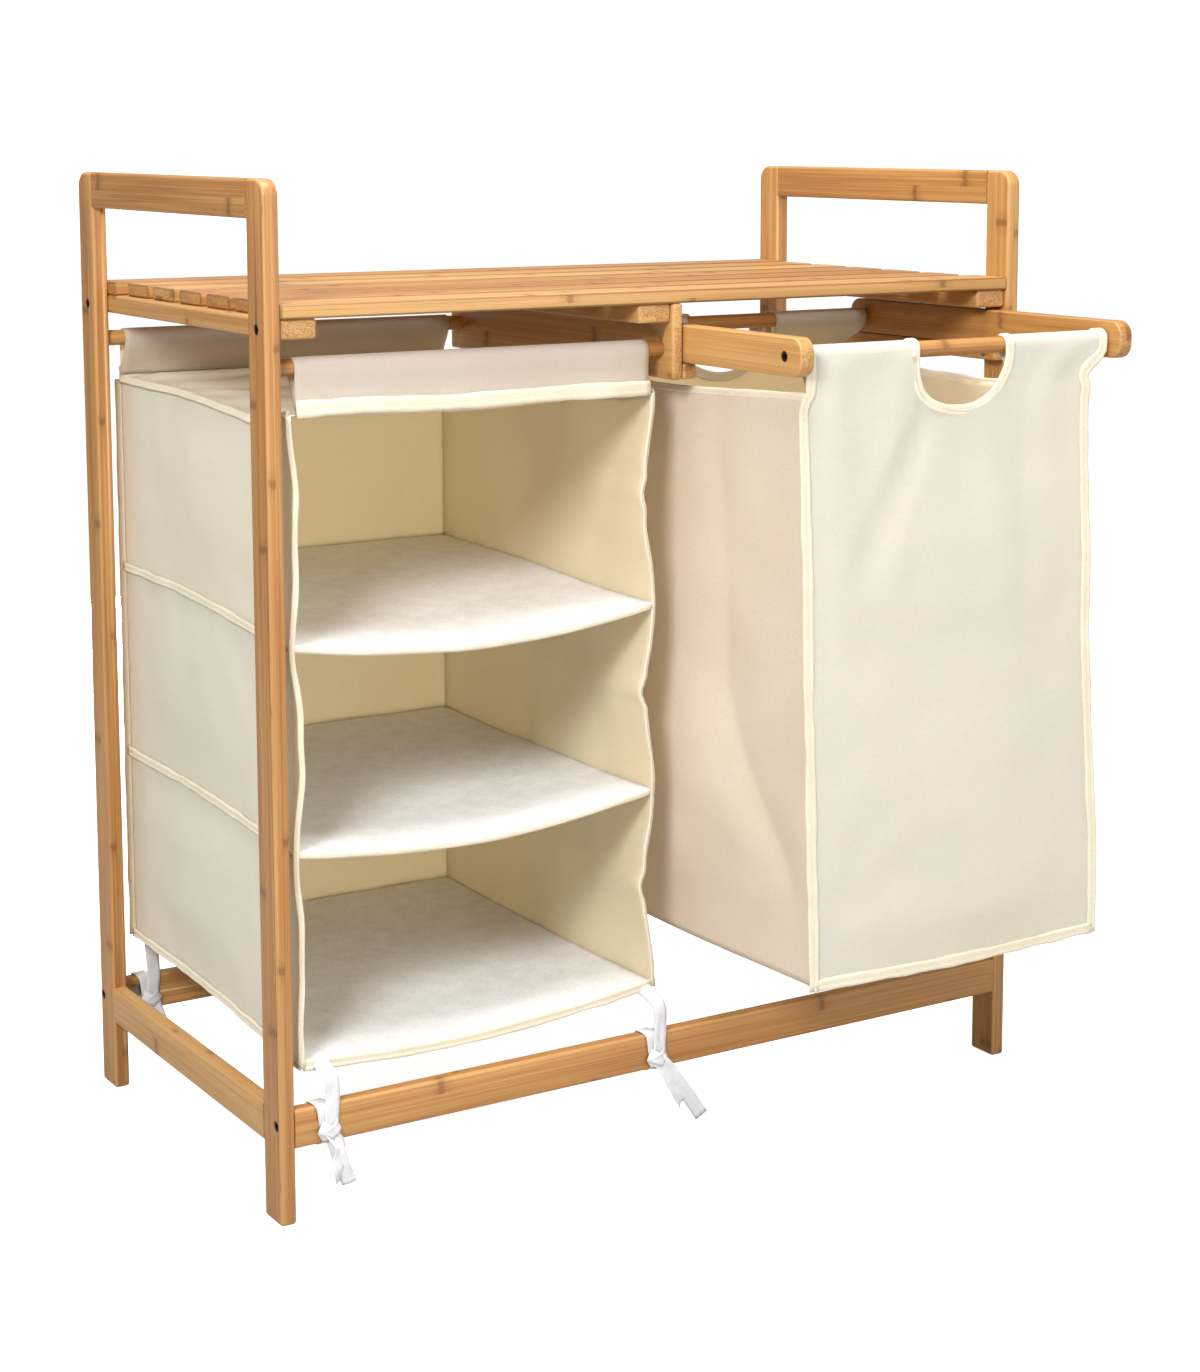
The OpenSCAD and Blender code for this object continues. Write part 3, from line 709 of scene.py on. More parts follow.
def hung_panel(front):
    """The front or back panel with its cut-out's tape: up from the bottom seam, over the rod and down to
    the sleeve's seam."""
    side = -1 if front else 1
    rod_y = front_rod_y if front else back_rod_y
    seam_y = bag_front_y if front else bag_back_y
    seed = 1 if front else 2
    cols, cut_cols, rows = 60, 20, 110
    first, last = (cols - cut_cols) / 2 / cols, (cols + cut_cols) / 2 / cols
    face_run = CUTOUT_TOP - bag_bottom
    round_run = math.pi * (rod_r + CLOTH_THICK)
    tail_run = bag_rod_z - SLEEVE_SEAM
    whole = face_run + (bag_rod_z - CUTOUT_TOP) + round_run + tail_run
    face_share = face_run / whole

    def across(s, z):
        """The place across the panel, with the cut-out's columns bunched towards its upright sides."""
        low, high = bag_left_x(z), bag_right_x(z)
        if s <= first:
            return low + (CUTOUT_MID - CUTOUT_HALF - low) * s / first
        if s >= last:
            return high - (high - CUTOUT_MID - CUTOUT_HALF) * (1 - s) / (1 - last)
        return CUTOUT_MID + CUTOUT_HALF * math.sin(math.pi * ((s - first) / (last - first) - 0.5))

    def notch(s):
        return cutout_depth((s - first) / (last - first)) if first < s < last else 0.0

    def shape(s, t):
        if t <= face_share + 1e-6:
            g = t / face_share
            low = bag_low_z(s)
            z = low + (CUTOUT_TOP - low) * g - notch(s) * g ** 10
            x = across(s, z)
            share = (x - bag_left_x(z)) / (bag_right_x(z) - bag_left_x(z))
            middle = arch(min(1.0, max(0.0, share)))
            out = 0.0045 * middle * hill(g, 0.30, 0.75)
            fold = 0.0
            for at, lean, deep in SLEEVE_FOLDS:
                fold += deep * hill(share, at + lean * (1 - g), 0.075 + 0.12 * (1 - g)) * hill(g, 0.80, 0.62)
            out += fold * min(1.0, middle * 4)
            run = (CUTOUT_TOP - CUTOUT_DEEP - z) / 0.16
            crease_x = CUTOUT_MID - CUTOUT_HALF + 0.008 - 0.075 * run
            crease = hill(x, crease_x, 0.020 + 0.012 * abs(run)) * hill(run, 0.30, 0.62)
            out -= 0.0027 * crease * (1 - g ** 12)
            out += 0.0022 * ripple(x, z, seed, 0.11) * min(1.0, middle * 3) * (1 - g ** 8)
            out += 0.0007 * ripple(x, z, seed + 5, 0.034) * min(1.0, middle * 5) * (1 - g ** 8)
            y = seam_y(z) + side * out * ease(g, (0.0, 0.0), (0.09, 1.0))
            return Vector((x, y, z))
        rest = (t - face_share) * whole
        r = rod_r + CLOTH_THICK
        x = across(s, 0.61)
        if rest <= bag_rod_z - CUTOUT_TOP:
            return Vector((x, rod_y + side * r, CUTOUT_TOP + rest))
        rest -= bag_rod_z - CUTOUT_TOP
        if rest <= round_run:
            turn = rest / r
            return Vector((x, rod_y + side * r * math.cos(turn), bag_rod_z + r * math.sin(turn)))
        down = (rest - round_run) / tail_run
        inner = rod_y - side * r
        pull = down * down * (3 - 2 * down)
        y = inner + (rod_y + side * (r - 0.0015) - inner) * pull
        return Vector((across(s, 0.61 - 0.03 * down), y, bag_rod_z - (bag_rod_z - SLEEVE_SEAM) * down))

    def gone(s, t):
        return first < s < last and t > face_share

    def true_share(s):
        return (across(s, bag_rod_z) - bag_left) / (bag_right - bag_left)

    face_share = round(face_share * rows) / rows
    word = END_WORD[front]
    piece = cloth_piece(
        f"bag_{word}_cloth", f"bag_{word}_panel", (cols, rows), (0.277, whole), shape,
        (0, side, 0), "pullout", gone=gone, spread=true_share,
    )

    # The tape round the hand cut-out: over the rod with the sleeve's end, down, across and up again
    turns = [math.radians(turn) for turn in range(110, -1, -10)]
    wrap = [Vector((0, side * math.cos(turn), math.sin(turn))) for turn in turns]
    tape_r = rod_r + 0.0010
    rim = [Vector((CUTOUT_MID - CUTOUT_HALF, rod_y, bag_rod_z)) + out * tape_r for out in wrap]
    looks = list(wrap)
    for k in range(33):
        m = k / 32
        x = CUTOUT_MID + CUTOUT_HALF * math.sin(math.pi * (m - 0.5))
        rim.append(Vector((x, rod_y + side * tape_r, CUTOUT_TOP - cutout_depth(m))))
        looks.append(Vector((0, side, 0)))
    for out in reversed(wrap):
        rim.append(Vector((CUTOUT_MID + CUTOUT_HALF, rod_y, bag_rod_z)) + out * tape_r)
        looks.append(out)
    name = f"bag_{word}_cutout_tape"
    tape = bound_edge(name, rim, looks, "pullout", width=0.0085, thick=0.0030, seed=seed + 20)
    return piece, tape


def side_panel(left):
    """The side panel's shape from the front seam to the back one, with the creases of an empty bag."""
    edge_x = bag_left_x if left else bag_right_x
    side = -1 if left else 1
    seed = 3 if left else 4
    back_x = bag_back_left if left else bag_back_right
    top_front, top_back = (0.577, 0.571) if left else (0.570, 0.568)

    def shape(s, t):
        top = top_front + (top_back - top_front) * s - 0.004 * hill(s, 0.5, 0.5)
        low = bag_seam_z - 0.002 * hill(s, 0.5, 0.5)
        z = low + (top - low) * t
        near, far = bag_front_y(z), bag_back_y(z)
        y = near + (far - near) * s
        x = edge_x(z) + (back_x - edge_x(z)) * s
        middle = arch(s)
        soft = min(1.0, 3.5 * middle)
        # A pressed fold that comes straight down, then slants to the lower front corner
        fold_s = ease(t, (0.05, 0.04), (0.52, 0.34), (1.0, 0.36))
        crease = max(0.0, 1 - abs(s - fold_s) / 0.16) ** 1.4
        x -= side * 0.0060 * crease * soft * ease(t, (0.03, 0.0), (0.25, 0.8), (0.6, 1.0), (0.98, 0.5))
        x += side * 0.0040 * middle * hill(t, 0.25, 0.5) * min(1.0, 8 * t)
        creased = 0.0030 * ripple(s * 0.31, z, seed, 0.10) + 0.0008 * ripple(s * 0.31, z, seed + 5, 0.035)
        x += side * creased * soft * min(1.0, 6 * t)
        return Vector((x, y, z))

    word = SIDE_WORD[left]
    # The side panels take the darker, warmer copy of the cream cloth, as painted shade
    piece = cloth_piece(
        f"bag_{word}_cloth", f"bag_{word}_panel", (62, 90), (0.311, 0.428), shape, (side, 0, 0), "pullout",
        (side_shade_cloth, inside_shade_cloth),
    )
    hem = [shape(k / 60, 1.0) for k in range(61)]
    name = f"bag_{word}_hem_tape"
    tape = bound_edge(name, hem, (side, 0, 0), "pullout", width=0.006, thick=0.003, seed=seed + 20)
    return piece, tape


bag_front, front_cutout_tape = hung_panel(True)
bag_back, back_cutout_tape = hung_panel(False)
bag_left_side, left_hem_tape = side_panel(True)
bag_right_side, right_hem_tape = side_panel(False)


def bag_bottom_shape(s, t):
    """Sewn to the four panels, it sags a little and has soft rucks."""
    low = bag_seam_z
    x0, x1 = bag_left_x(low), bag_right_x(low)
    near, far = bag_front_y(low), bag_back_y(low)
    x = (x0 + (x1 - x0) * s) * (1 - t) + (bag_back_left + (bag_back_right - bag_back_left) * s) * t
    inside = arch(s) * arch(t)
    sag = 0.0020 * max(hill(s, 0.5, 0.5), hill(t, 0.5, 0.5)) + 0.0025 * inside
    ruck = 0.0010 * ripple(s * 0.27, t * 0.31, 8, 0.06) * min(1.0, 4 * inside)
    return Vector((x, near + (far - near) * t, low - sag + ruck))


bag_base = cloth_piece(
    "bag_bottom_cloth", "bag_bottom_panel", (56, 62), (0.275, 0.310), bag_bottom_shape, (0, 0, -1), "pullout"
)


def bag_corner_path(front, left):
    """A corner seam from the bottom up to the rod sleeve."""
    edge_x = bag_left_x if left else bag_right_x
    fixed_x = bag_back_left if left else bag_back_right
    seam_y = bag_front_y if front else bag_back_y
    out = -1 if front else 1
    rod_y = front_rod_y if front else back_rod_y
    inward = 1 if left else -1
    low, high = bag_bottom + 0.002, bag_rod_z - 0.002
    path, looks = [], []
    steps = 90
    for k in range(steps + 1):
        z = low + (high - low) * k / steps
        x = edge_x(z) if front or z > 0.575 else fixed_x
        x += inward * ease(z, (0.571, 0.0), (0.580, 0.0032), (0.60, 0.0028))
        sway = 0.0009 * ripple(z, 0.3, 11 + 2 * front + left, 0.05)
        path.append(Vector((x + sway, seam_y(min(z, 0.60)) + out * 0.0004, z)))
        looks.append(Vector((0, out, 0)))
    for turn in range(0, 121, 10):
        away = Vector((0, out * math.cos(math.radians(turn)), math.sin(math.radians(turn))))
        path.append(Vector((path[steps].x, rod_y, bag_rod_z)) + away * (rod_r + 0.0014))
        looks.append(away)
    return path, looks


for front in (True, False):
    for left in (True, False):
        name = f"bag_{END_WORD[front]}_{SIDE_WORD[left]}_tape"
        path, looks = bag_corner_path(front, left)
        seam = bound_edge(name, path, looks, "pullout", seed=30 + 2 * front + left, groove=0.65)

for front in (True, False):
    out = -1 if front else 1
    y = (bag_front_y if front else bag_back_y)(bag_bottom) + out * 0.0006
    x0, x1 = bag_left_x(bag_bottom), bag_right_x(bag_bottom)
    if not front:
        x0, x1 = bag_back_left, bag_back_right
    path = [Vector((x0 + (x1 - x0) * k / 54, y, bag_low_z(k / 54) + 0.0010)) for k in range(55)]
    name = f"bag_{END_WORD[front]}_foot_tape"
    bound_edge(name, path, (0, out, 0), "pullout", seed=41 + front, groove=0.65)

# ---- Hanging organiser ----
# A cloth box open at the front, with a sleeve at each end of its top for the two rods. Side, back and
# top panels are sewn inside out, so narrow cream tape stands along every edge.

TIER_COUNT = 3
org_low, org_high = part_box("organiser_left_panel")[0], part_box("organiser_right_panel")[1]
org_left, org_right = org_low.x, org_high.x
org_front, org_back = org_low.y, org_high.y
org_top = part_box("organiser_top_panel")[1].z
org_rod_z, org_rod_r = node_span("organiser_front_rod", ALONG_Z)
org_front_rod_y = node_span("organiser_front_rod", ALONG_Y)[0]
org_back_rod_y = node_span("organiser_rear_rod", ALONG_Y)[0]
# The rear corners and the open front, about a seam inside the CAD box, and how far the panels' feet
# and the tier seams lie below a tier's height
org_rear_left, org_rear_right, org_rear = org_left + 0.0010, org_right - 0.0010, org_back - 0.0008
org_mouth = org_front + 0.0012
FOOT_DROP = 0.0045
SEAM_DROP = 0.0025

# Tier seams from the bottom: height at the rear, at the left front and at the right front corner,
# and how far each floor's front edge sags
TIERS = ((0.1235, 0.1130, 0.1210), (0.2735, 0.2650, 0.2710), (0.4225, 0.4110, 0.4130))
FRONT_SAG = (0.009, 0.013, 0.014)


def organiser_tape(word, path, facing, width, thick, seed, groove=0.45):
    """Binding tape on one of the organiser's seams."""
    return bound_edge(f"organiser_{word}_tape", path, facing, "cabinet", width, thick, seed, groove)


def seam_rise(tier, left, s):
    """Height of a tier's seam on a side panel, s from the front (0) to the rear (1)."""
    rear, front_left, front_right = TIERS[tier]
    front = front_left if left else front_right
    return ease(s, (0.0, front), (0.75, rear - 0.001), (1.0, rear))


def org_top_z(left, s):
    """Top edge of a side panel, low at the front."""
    rise = 0 if left else 0.003
    drops = (0.0, 0.0015 + rise), (0.13, 0.0110), (0.7, 0.0035), (1.0, 0.0030)
    return rise + ease(s, *((at, org_top - drop) for at, drop in drops))


def org_front_x(left, z):
    """The front edges wander: each tier floor holds them apart, and they fall in between."""
    seams = [TIERS[k][1 if left else 2] for k in range(TIER_COUNT)] + [org_top]
    held = max(hill(z, seam, 0.060) for seam in seams)
    if left:
        wander = 0.0022 * ripple(z, 0.1, 51, 0.045) + 0.0020 * hill(z, 0.34, 0.06)
        return org_left - 0.0005 - 0.0040 * held + wander
    nick = 0.0035 * hill(z, 0.195, 0.014) + 0.0040 * hill(z, 0.345, 0.013) + 0.0030 * hill(z, 0.495, 0.014)
    return org_right - 0.0045 + 0.0075 * held - nick + 0.0016 * ripple(z, 0.1, 52, 0.040)


def org_front_y(left, z):
    """The front edges' depth."""
    return org_mouth + 0.0016 * ripple(z, 0.6, 53 + left, 0.05)


def organiser_side(left):
    """A side panel from its front edge to its rear one, held in at the tier seams and full between them."""
    side = -1 if left else 1
    seed = 61 if left else 62
    rear_x = org_rear_left if left else org_rear_right

    def shape(s, t):
        low = seam_rise(0, left, s) - FOOT_DROP
        z = low + (org_top_z(left, s) - low) * t
        near_x, near_y = org_front_x(left, z), org_front_y(left, z)
        y = near_y + (org_rear - near_y) * s
        x = near_x + (rear_x - near_x) * ease(s, (0.0, 0.0), (0.35, 0.75), (1.0, 1.0))
        middle = arch(s)
        seams = [seam_rise(k, left, s) for k in range(TIER_COUNT)] + [org_top]
        held = max(hill(z, seam, 0.055) for seam in seams)
        x += side * (0.0042 * middle * (1 - held) - 0.0012 * held * middle)
        x += side * 0.0030 * ripple(s * 0.325, z, seed, 0.09) * min(1.0, 4 * middle) * (1 - 0.7 * held)
        x += side * 0.0009 * ripple(s * 0.325, z, seed + 5, 0.030) * min(1.0, 4 * middle)
        return Vector((x, y, z))

    word = SIDE_WORD[left]
    piece = cloth_piece(
        f"organiser_{word}_cloth", f"organiser_{word}_panel", (65, 92), (0.325, 0.455), shape, (side, 0, 0),
        "cabinet",
    )
    return piece, shape


org_left_side, org_left_shape = organiser_side(True)
org_right_side, org_right_shape = organiser_side(False)


def org_back_shape(s, t):
    """The back panel, from left to right and up."""
    low = TIERS[0][0] - FOOT_DROP
    z = low + (org_top - 0.0030 - low) * t
    x0, x1 = org_rear_left, org_rear_right
    middle = arch(s)
    seams = [row[0] for row in TIERS] + [org_top]
    held = max(hill(z, seam, 0.055) for seam in seams)
    y = org_rear + 0.0035 * middle * (1 - held)
    y += 0.0026 * ripple(s * 0.28, z, 64, 0.09) * min(1.0, 4 * middle) * (1 - 0.7 * held)
    y += 0.0008 * ripple(s * 0.28, z, 65, 0.03) * min(1.0, 4 * middle)
    return Vector((x0 + (x1 - x0) * s, y, z))


org_back_side = cloth_piece(
    "organiser_back_cloth", "organiser_back_panel", (58, 92), (0.287, 0.455), org_back_shape, (0, 1, 0),
    "cabinet",
)


def org_top_shape(s, t):
    """From the front (t = 0) to the rear, hung between the two sleeves and the side panels' top edges."""
    left_z, right_z = org_top_z(True, t), org_top_z(False, t)
    x0 = org_left_shape(t, 1.0).x
    x1 = org_right_shape(t, 1.0).x
    middle = arch(s)
    edge_z = left_z + (right_z - left_z) * s
    front_hold = hill(t, 0.0, 0.22) + hill(t, 1.0, 0.22)
    z = edge_z + (org_top + 0.0010 - edge_z) * min(1.0, front_hold) * min(1.0, 3 * middle)
    z -= 0.0060 * middle * arch(t)
    z += 0.0020 * ripple(s * 0.28, t * 0.32, 66, 0.07) * min(1.0, 4 * middle * arch(t))
    return Vector((x0 + (x1 - x0) * s, org_mouth + (org_rear - org_mouth) * t, z))


org_top_side = cloth_piece(
    "organiser_top_cloth", "organiser_top_panel", (57, 65), (0.287, 0.325), org_top_shape, (0, 0, 1),
    "cabinet",
)


def organiser_sleeve(front):
    """A loop of cloth round the rod, sewn to the top panel's edge."""
    side = -1 if front else 1
    rod_y = org_front_rod_y if front else org_back_rod_y
    r = org_rod_r + CLOTH_THICK
    x0, x1 = org_rear_left, org_right - 0.0015
    low = org_top + 0.0012
    rise = org_rod_z - low
    round_run = math.pi * r
    whole = 2 * rise + round_run
    seed = 71 if front else 72

    def shape(s, t):
        run = t * whole
        x = x0 + (x1 - x0) * s
        if run <= rise:
            down = 1 - run / rise
            wave = 0.0022 * ripple(x, 0.2, seed, 0.045) * down
            dip = 0.0016 * ripple(x, 0.7, seed + 1, 0.07) * down
            lean = 0.0010 * hill(down, 0.55, 0.45)
            return Vector((x, rod_y + side * (r + wave * 0.6 - lean), low + run + dip))
        run -= rise
        if run <= round_run:
            turn = run / r
            return Vector((x, rod_y + side * r * math.cos(turn), org_rod_z + r * math.sin(turn)))
        down = (run - round_run) / rise
        pull = down * down * (3 - 2 * down)
        return Vector((x, rod_y - side * (r - (2 * r - 0.0022) * pull), org_rod_z - rise * down))

    word = "front" if front else "rear"
    # The sleeve takes the greyed copy of the cream cloth, as painted shade under the shelf
    piece = cloth_piece(
        f"organiser_{word}_sleeve_cloth", f"organiser_{word}_sleeve", (57, 26), (0.284, whole), shape,
        (0, side, 0), "cabinet", (sleeve_shade_cloth, inside_shade_cloth),
    )
    hem = [shape(k / 60, 0.012) + Vector((0, side * 0.0010, 0)) for k in range(61)]
    tape = organiser_tape(f"{word}_hem", hem, (0, side, 0), 0.0115, 0.0042, seed + 5)
    return piece, tape


front_sleeve, front_hem = organiser_sleeve(True)
rear_sleeve, rear_hem = organiser_sleeve(False)

TIER_TAPE = (0.0068, 0.0030)
side_tapes = {True: [], False: []}
for left, shape in ((True, org_left_shape), (False, org_right_shape)):
    side = -1 if left else 1
    word = SIDE_WORD[left]
    front_edge = [shape(0.0, k / 92) + Vector((0, -0.0004, 0)) for k in range(93)]
    rear_edge = [shape(1.0, k / 92) + Vector((side * 0.0012, 0.0012, 0)) for k in range(93)]
    top_edge = [shape(k / 65, 1.0) + Vector((side * 0.0006, 0, 0.0006)) for k in range(66)]
    for edge_word, edge, facing, width, thick, seed in (
        ("front", front_edge, (side * 0.5, -1, 0), 0.0044, 0.0026, 81),
        ("rear", rear_edge, (side, -1, 0), 0.0065, 0.0024, 83),
        ("top", top_edge, (side, 0, 0.6), 0.0055, 0.0026, 85),
    ):
        tape = organiser_tape(f"{word}_{edge_word}", edge, facing, width, thick, seed + left)
        side_tapes[left].append(tape)
    for tier in range(TIER_COUNT):
        seam = []
        for k in range(66):
            low = seam_rise(0, left, k / 65) - FOOT_DROP
            rise = seam_rise(tier, left, k / 65) - SEAM_DROP
            share = max(0.0, (rise - low) / (org_top_z(left, k / 65) - low))
            seam.append(shape(k / 65, share) + Vector((side * 0.0012, 0, 0)))
        tape = organiser_tape(
            f"{word}_tier_{tier + 1}", seam, (side, 0, 0), *TIER_TAPE, seed=87 + 3 * left + tier, groove=0.8
        )
        side_tapes[left].append(tape)

for tier in range(TIER_COUNT):
    rise = TIERS[tier][0] - SEAM_DROP
    low = TIERS[0][0] - FOOT_DROP
    share = (rise - low) / (org_top - 0.0030 - low)
    seam = [org_back_shape(k / 57, share) + Vector((0, 0.0012, 0)) for k in range(58)]
    tape = organiser_tape(f"back_tier_{tier + 1}", seam, (0, 1, 0), *TIER_TAPE, seed=95 + tier, groove=0.8)

# ---- Tier floors ----
# Each floor is a flat pocket of white felted cloth with a card board inside, sewn to the side and back
# panels. The boards have softened, so the front edges sag between the corners.

FLOOR_THICK = 0.0050
BOARD_THICK = 0.0020


def felt_finish():
    """White felted cloth: pressed fibres with small lighter and darker flecks and a few soft dents."""
    material, tree, shader = new_finish("white_felt")
    flat = add_node(tree, "ShaderNodeUVMap", uv_map="flat").outputs["UV"]
    long_fibres = noise_share(tree, stretch(tree, flat, (1.0, 0.5, 1.0)), 420.0, Detail=4.0, Distortion=1.2)
    flecks = noise_share(tree, flat, 60.0, Detail=3.0)
    shade = ramp_colour(tree, flecks, (0.3, tint(232, 230, 229)), (0.7, tint(243, 241, 240)))
    pressed = calc(tree, "MULTIPLY", fade(tree, long_fibres, 0.4, 0.75), 0.18)
    shade = mix_colour(tree, pressed, shade, tint(168, 165, 162))
    roughness = calc(tree, "MULTIPLY_ADD", flecks, 0.2, 0.72)
    matt = {"Roughness": roughness, "Specular IOR Level": 0.25, "Sheen Weight": 0.1}
    feed(tree, shader, {"Base Color": shade, **matt})
    add_bump(tree, shader, calc(tree, "MULTIPLY_ADD", flecks, 1.5, long_fibres), 0.0003)
    return material


def card_finish():
    """Grey-brown pressed card."""
    material, tree, shader = new_finish("pressed_card")
    pulp = noise_share(tree, piece_place(tree), 500.0, Detail=4.0)
    shade = ramp_colour(tree, pulp, (0.3, tint(176, 162, 140)), (0.7, tint(205, 194, 172)))
    feed(tree, shader, {"Base Color": shade, "Roughness": 0.9})
    add_bump(tree, shader, pulp, 0.0001)
    return material


white_felt = felt_finish()
pressed_card = card_finish()


def floor_shape(tier):
    """The top of a tier floor: s from left to right, t from the front edge to the rear."""
    rear, front_left, front_right = TIERS[tier]

    def shape(s, t):
        left_z = seam_rise(tier, True, t)
        right_z = seam_rise(tier, False, t)
        near = 1 - ease(t, (0, 0), (0.35, 0.75), (1, 1))
        x0 = (org_front_x(True, left_z) - org_left) * near + org_left + 0.0020
        x1 = (org_front_x(False, right_z) - org_right) * near + org_right - 0.0020
        middle = arch(s)
        sag = FRONT_SAG[tier] * middle ** 0.9 * (0.22 + 0.78 * (1 - t) ** 1.5) * hill(t, 0.0, 1.02) ** 0.35
        z = left_z + (right_z - left_z) * s - sag
        free = min(1.0, 5 * middle * arch(min(1, t + 0.2)))
        z += 0.0009 * ripple(s * 0.28, t * 0.32, 101 + tier, 0.06) * free
        y0, y1 = org_front + 0.0010, org_back - 0.0030
        return Vector((x0 + (x1 - x0) * s, y0 + (y1 - y0) * t, z))

    return shape


for tier, word in enumerate(("bottom", "middle", "upper")):
    name = f"organiser_{word}_floor"
    pocket = cloth_piece(
        name + "_cloth", name, (56, 62), (0.284, 0.321), floor_shape(tier), (0, 0, 1), "cabinet",
        (white_felt, cream_cloth), thick=FLOOR_THICK,
    )
    pocket.modifiers["cloth_thickness"].material_offset_rim = 0
    edge = [floor_shape(tier)(k / 56, 0.0) + Vector((0, -0.0002, -0.0024)) for k in range(57)]
    width, groove = (0.0080, 0.8) if tier == 0 else (0.0042, 0.3)
    tape = organiser_tape(f"{word}_floor_front", edge, (0, -1, 0), width, 0.0030, 111 + tier, groove)

board_bm = bmesh.new()
for tier in range(TIER_COUNT):
    shape = floor_shape(tier)
    made = bmesh.ops.create_grid(board_bm, x_segments=40, y_segments=44, size=1.0)
    for v in made["verts"]:
        s, t = grid_share(v.co)
        v.co = shape(0.006 + 0.988 * s, 0.012 + 0.976 * t) - Vector((0, 0, 0.0015))
smooth_all(board_bm)
boards = add_piece("organiser_board_cards", board_bm, "cabinet", (pressed_card,))
board_wall = boards.modifiers.new("board_thickness", "SOLIDIFY")
board_wall.thickness = BOARD_THICK
board_wall.offset = -1.0
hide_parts("organiser_boards")

# ---- Ribbon ties ----
# A white ribbon at each lower corner of the organiser goes round the long rail and is knotted, with
# two loose crumpled tails.

RIBBON_WIDE = 0.011
RIBBON_THICK = 0.0004
KNOT_WIDE = 0.009
TURN_STEPS = (0.0, 0.06, 0.18, 0.30, 0.44, 0.56, 0.70, 0.82, 0.94, 1.0)


def ribbon_finish():
    """White woven ribbon with a soft shine and fine cross ribs."""
    material, tree, shader = new_finish("white_ribbon")
    flat = add_node(tree, "ShaderNodeUVMap", uv_map="flat").outputs["UV"]
    run = add_node(tree, "ShaderNodeSeparateXYZ", {0: flat}).outputs[1]
    ribs = calc(tree, "SINE", calc(tree, "MULTIPLY", run, 2 * math.pi / 0.0007))
    fuzz = noise_share(tree, flat, 700.0, Detail=2.0)
    shade = ramp_colour(tree, fuzz, (0.3, tint(214, 213, 215)), (0.7, tint(230, 229, 231)))
    roughness = calc(tree, "MULTIPLY_ADD", fuzz, 0.2, 0.5)
    feed(tree, shader, {"Base Color": shade, "Roughness": roughness, "Sheen Weight": 0.15})
    add_bump(tree, shader, calc(tree, "MULTIPLY_ADD", ribs, 0.4, fuzz), 0.0001)
    return material


white_ribbon = ribbon_finish()


def smooth_path(points, steps):
    """Catmull-Rom points through the given ones."""
    ends = [points[0] * 2 - points[1], *points, points[-1] * 2 - points[-2]]
    path = []
    for a, b, c, d in zip(ends, ends[1:], ends[2:], ends[3:]):
        for k in range(steps):
            t = k / steps
            bend, twist = a * 2 - b * 5 + c * 4 - d, b * 3 - a - c * 3 + d
            path.append(0.5 * (b * 2 + (c - a) * t + bend * t * t + twist * t ** 3))
    return path + [points[-1]]


def ribbon_strip(bm, points, facing, seed, width=RIBBON_WIDE, crumple=0.0012, steps=6):
    """One length of ribbon along points, its width turned by facing, with small crumples."""
    path = smooth_path([Vector(p) for p in points], steps)
    frames, run = path_frames(path, facing), path_run(path)
    made = bmesh.ops.create_grid(bm, x_segments=4, y_segments=len(path) - 1, size=1.0)
    uv = bm.loops.layers.uv.active
    fresh = set(made["verts"])
    for face in bm.faces:
        if face.verts[0] in fresh:
            face.smooth = True
            for loop in face.loops:
                k = round((loop.vert.co.y + 1) / 2 * (len(path) - 1))
                loop[uv].uv = ((loop.vert.co.x + 1) / 2 * width, run[k] + seed)
    for v in made["verts"]:
        k = round((v.co.y + 1) / 2 * (len(path) - 1))
        point, ahead, up, across = frames[k]
        side = v.co.x
        curl = ripple(run[k], side * 0.01, seed, 0.012)
        curl += 0.6 * side * side * ripple(run[k], 0.4, seed, 0.02)
        v.co = point + across * (side * width / 2) + up * (crumple * curl)
    return run[-1]


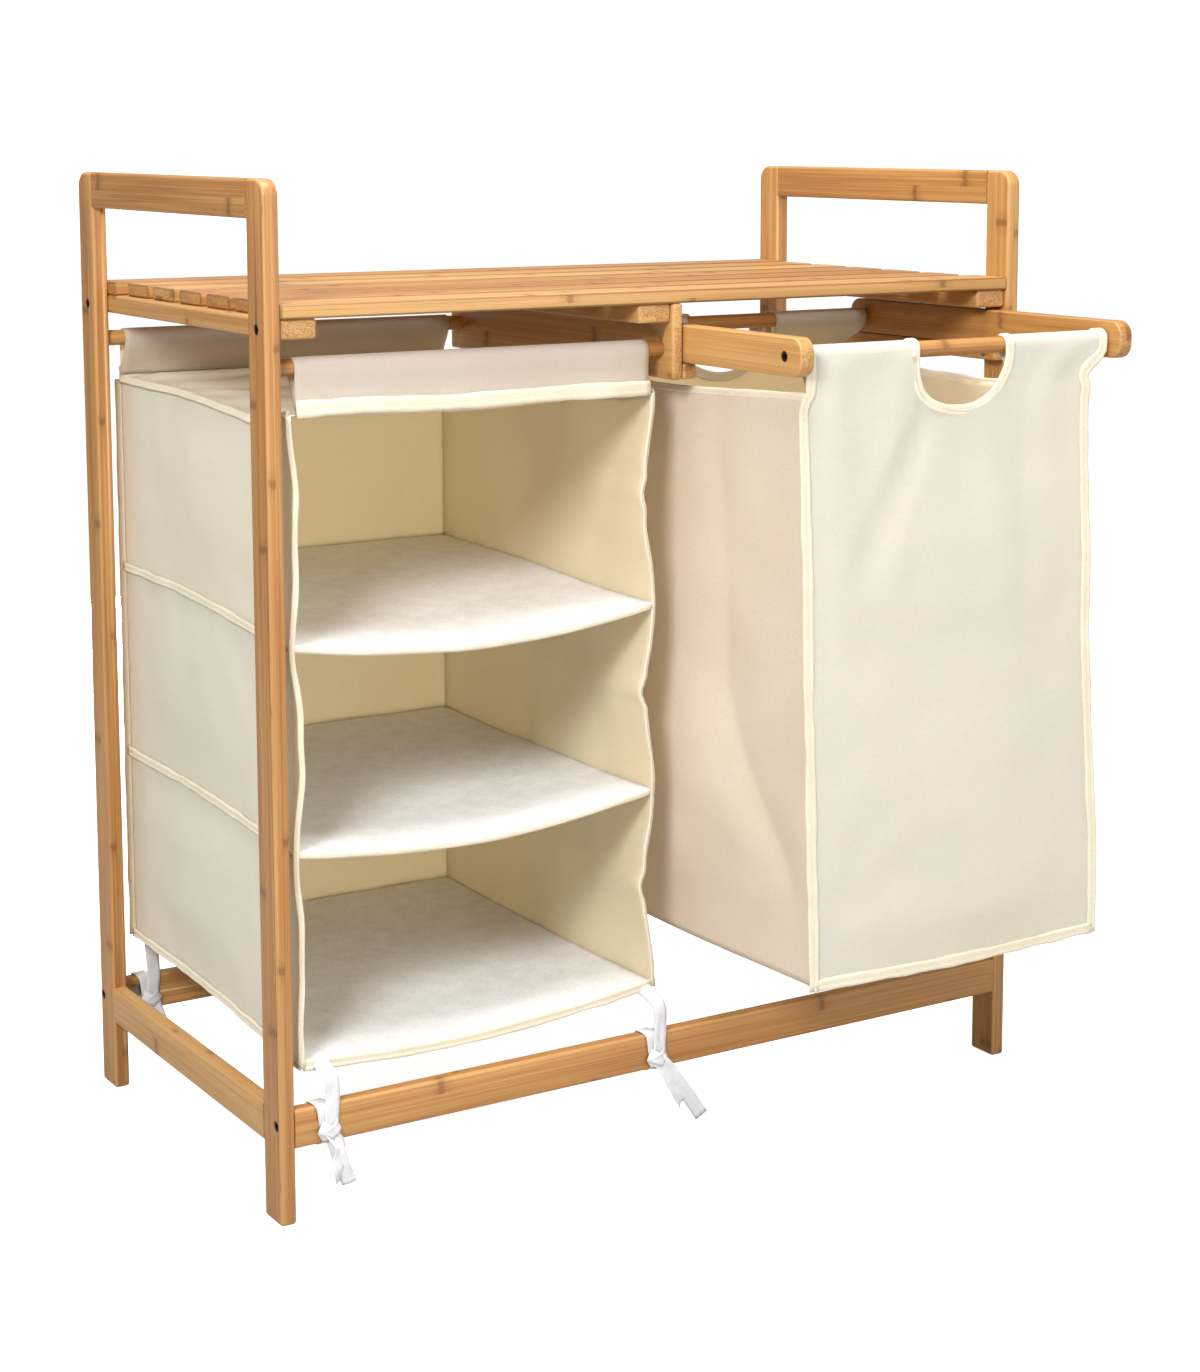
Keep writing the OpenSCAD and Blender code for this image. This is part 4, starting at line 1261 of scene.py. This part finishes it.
def tie(name, rail, corner_y, x_top, x, z_top, tails, seed):
    """A strap from the organiser's corner at x_top and z_top, a loop round the rail at x, a knot and two
    tails on the rail's outer face. Each tail is a list of steps from the knot: across, outward, height."""
    bm = bmesh.new()
    bm.loops.layers.uv.new("flat")
    rail_low, rail_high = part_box(rail)
    gap = 0.0010
    outward = -1
    face_y, other_y = rail_low.y + outward * gap, rail_high.y - outward * gap
    top, low = rail_high.z + gap, rail_low.z - gap
    knot_z = (rail_low.z + rail_high.z) / 2 - 0.005
    strap = [
        (x_top, corner_y, z_top), (x + 0.002, face_y - outward * 0.001, (z_top + rail_high.z) / 2 + 0.004),
        (x + 0.003, face_y, rail_high.z + 0.003), (x + 0.001, face_y + outward * 0.0012, knot_z),
    ]
    length = ribbon_strip(bm, strap, (0, outward, 0), seed)

    loop = [
        (x - 0.002, face_y, knot_z + 0.004), (x - 0.004, face_y, top - 0.003),
        (x - 0.005, face_y - outward * 0.003, top), (x - 0.006, other_y + outward * 0.003, top),
        (x - 0.006, other_y, top - 0.003), (x - 0.006, other_y, low + 0.003),
        (x - 0.004, other_y + outward * 0.003, low), (x - 0.002, face_y - outward * 0.003, low),
        (x, face_y, low + 0.003), (x, face_y + outward * 0.0008, knot_z),
    ]

    def loop_facing(share):
        """Direction out of the rail round the loop."""
        spot = share * (len(TURN_STEPS) - 1)
        k = min(int(spot), len(TURN_STEPS) - 2)
        turn = 2 * math.pi * (TURN_STEPS[k] + (TURN_STEPS[k + 1] - TURN_STEPS[k]) * (spot - k))
        return Vector((0.0, math.cos(turn) * outward, math.sin(turn)))

    length += ribbon_strip(bm, loop, loop_facing, seed + 1, crumple=0.0005)
    # The knot: two short turns of ribbon over each other
    knot_y = face_y + outward * 0.0022
    for lean in (-1, 1):
        turn = [
            (x + dx, knot_y + outward * dy, knot_z - lean * dz)
            for dx, dy, dz in (
                (-0.0075, -0.001, -0.004), (-0.003, 0.0022, -0.0015), (0.003, 0.0022, 0.0015),
                (0.0075, -0.001, 0.004),
            )
        ]
        facing = (0, outward, 0.1 * lean)
        length += ribbon_strip(bm, turn, facing, seed + 2 + lean, width=KNOT_WIDE, crumple=0.0008, steps=4)
    for number, tail in enumerate(tails):
        points = [(x, knot_y, knot_z)] + [(x + dx, knot_y + outward * dy, z) for dx, dy, z in tail]
        swing = 0.5 if number else -0.4
        length += ribbon_strip(bm, points, (swing, outward, 0.1), seed + 5 + number, crumple=0.0022)
    piece = add_piece(name + "_ribbon", bm, "cabinet", (white_ribbon,))
    wall = piece.modifiers.new("ribbon_thickness", "SOLIDIFY")
    wall.thickness = RIBBON_THICK
    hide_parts(name + "_tie")


tie_left_x = org_left + 0.012
tie_right_x = org_right - 0.010
front_corner_y, rear_corner_y = org_front + 0.004, org_back - 0.004
tie("front_left", "front_lower_rail", front_corner_y, tie_left_x - 0.004, tie_left_x, 0.115, (
    [(0.004, 0.002, 0.050), (0.008, 0.003, 0.036), (0.013, 0.002, 0.024)],
    [(0.006, 0.003, 0.052), (0.003, 0.004, 0.038), (0.006, 0.003, 0.028)],
), seed=201)
tie("front_right", "front_lower_rail", front_corner_y, tie_right_x, tie_right_x + 0.009, 0.120, (
    [(0.010, 0.002, 0.052), (0.024, 0.003, 0.032), (0.038, 0.002, 0.012)],
    [(0.006, 0.003, 0.050), (0.014, 0.004, 0.036), (0.020, 0.003, 0.026)],
), seed=211)
tie("rear_left", "rear_lower_rail", rear_corner_y, tie_left_x, tie_left_x, 0.120, (
    [(0.004, 0.002, 0.052), (0.007, 0.003, 0.040), (0.010, 0.002, 0.030)],
    [(-0.004, 0.003, 0.052), (-0.006, 0.004, 0.042), (-0.004, 0.003, 0.034)],
), seed=221)
tie("rear_right", "rear_lower_rail", rear_corner_y, tie_right_x, tie_right_x, 0.120, (
    [(0.004, 0.002, 0.052), (0.009, 0.003, 0.040), (0.012, 0.002, 0.030)],
    [(-0.003, 0.003, 0.052), (-0.007, 0.004, 0.042), (-0.006, 0.003, 0.034)],
), seed=231)
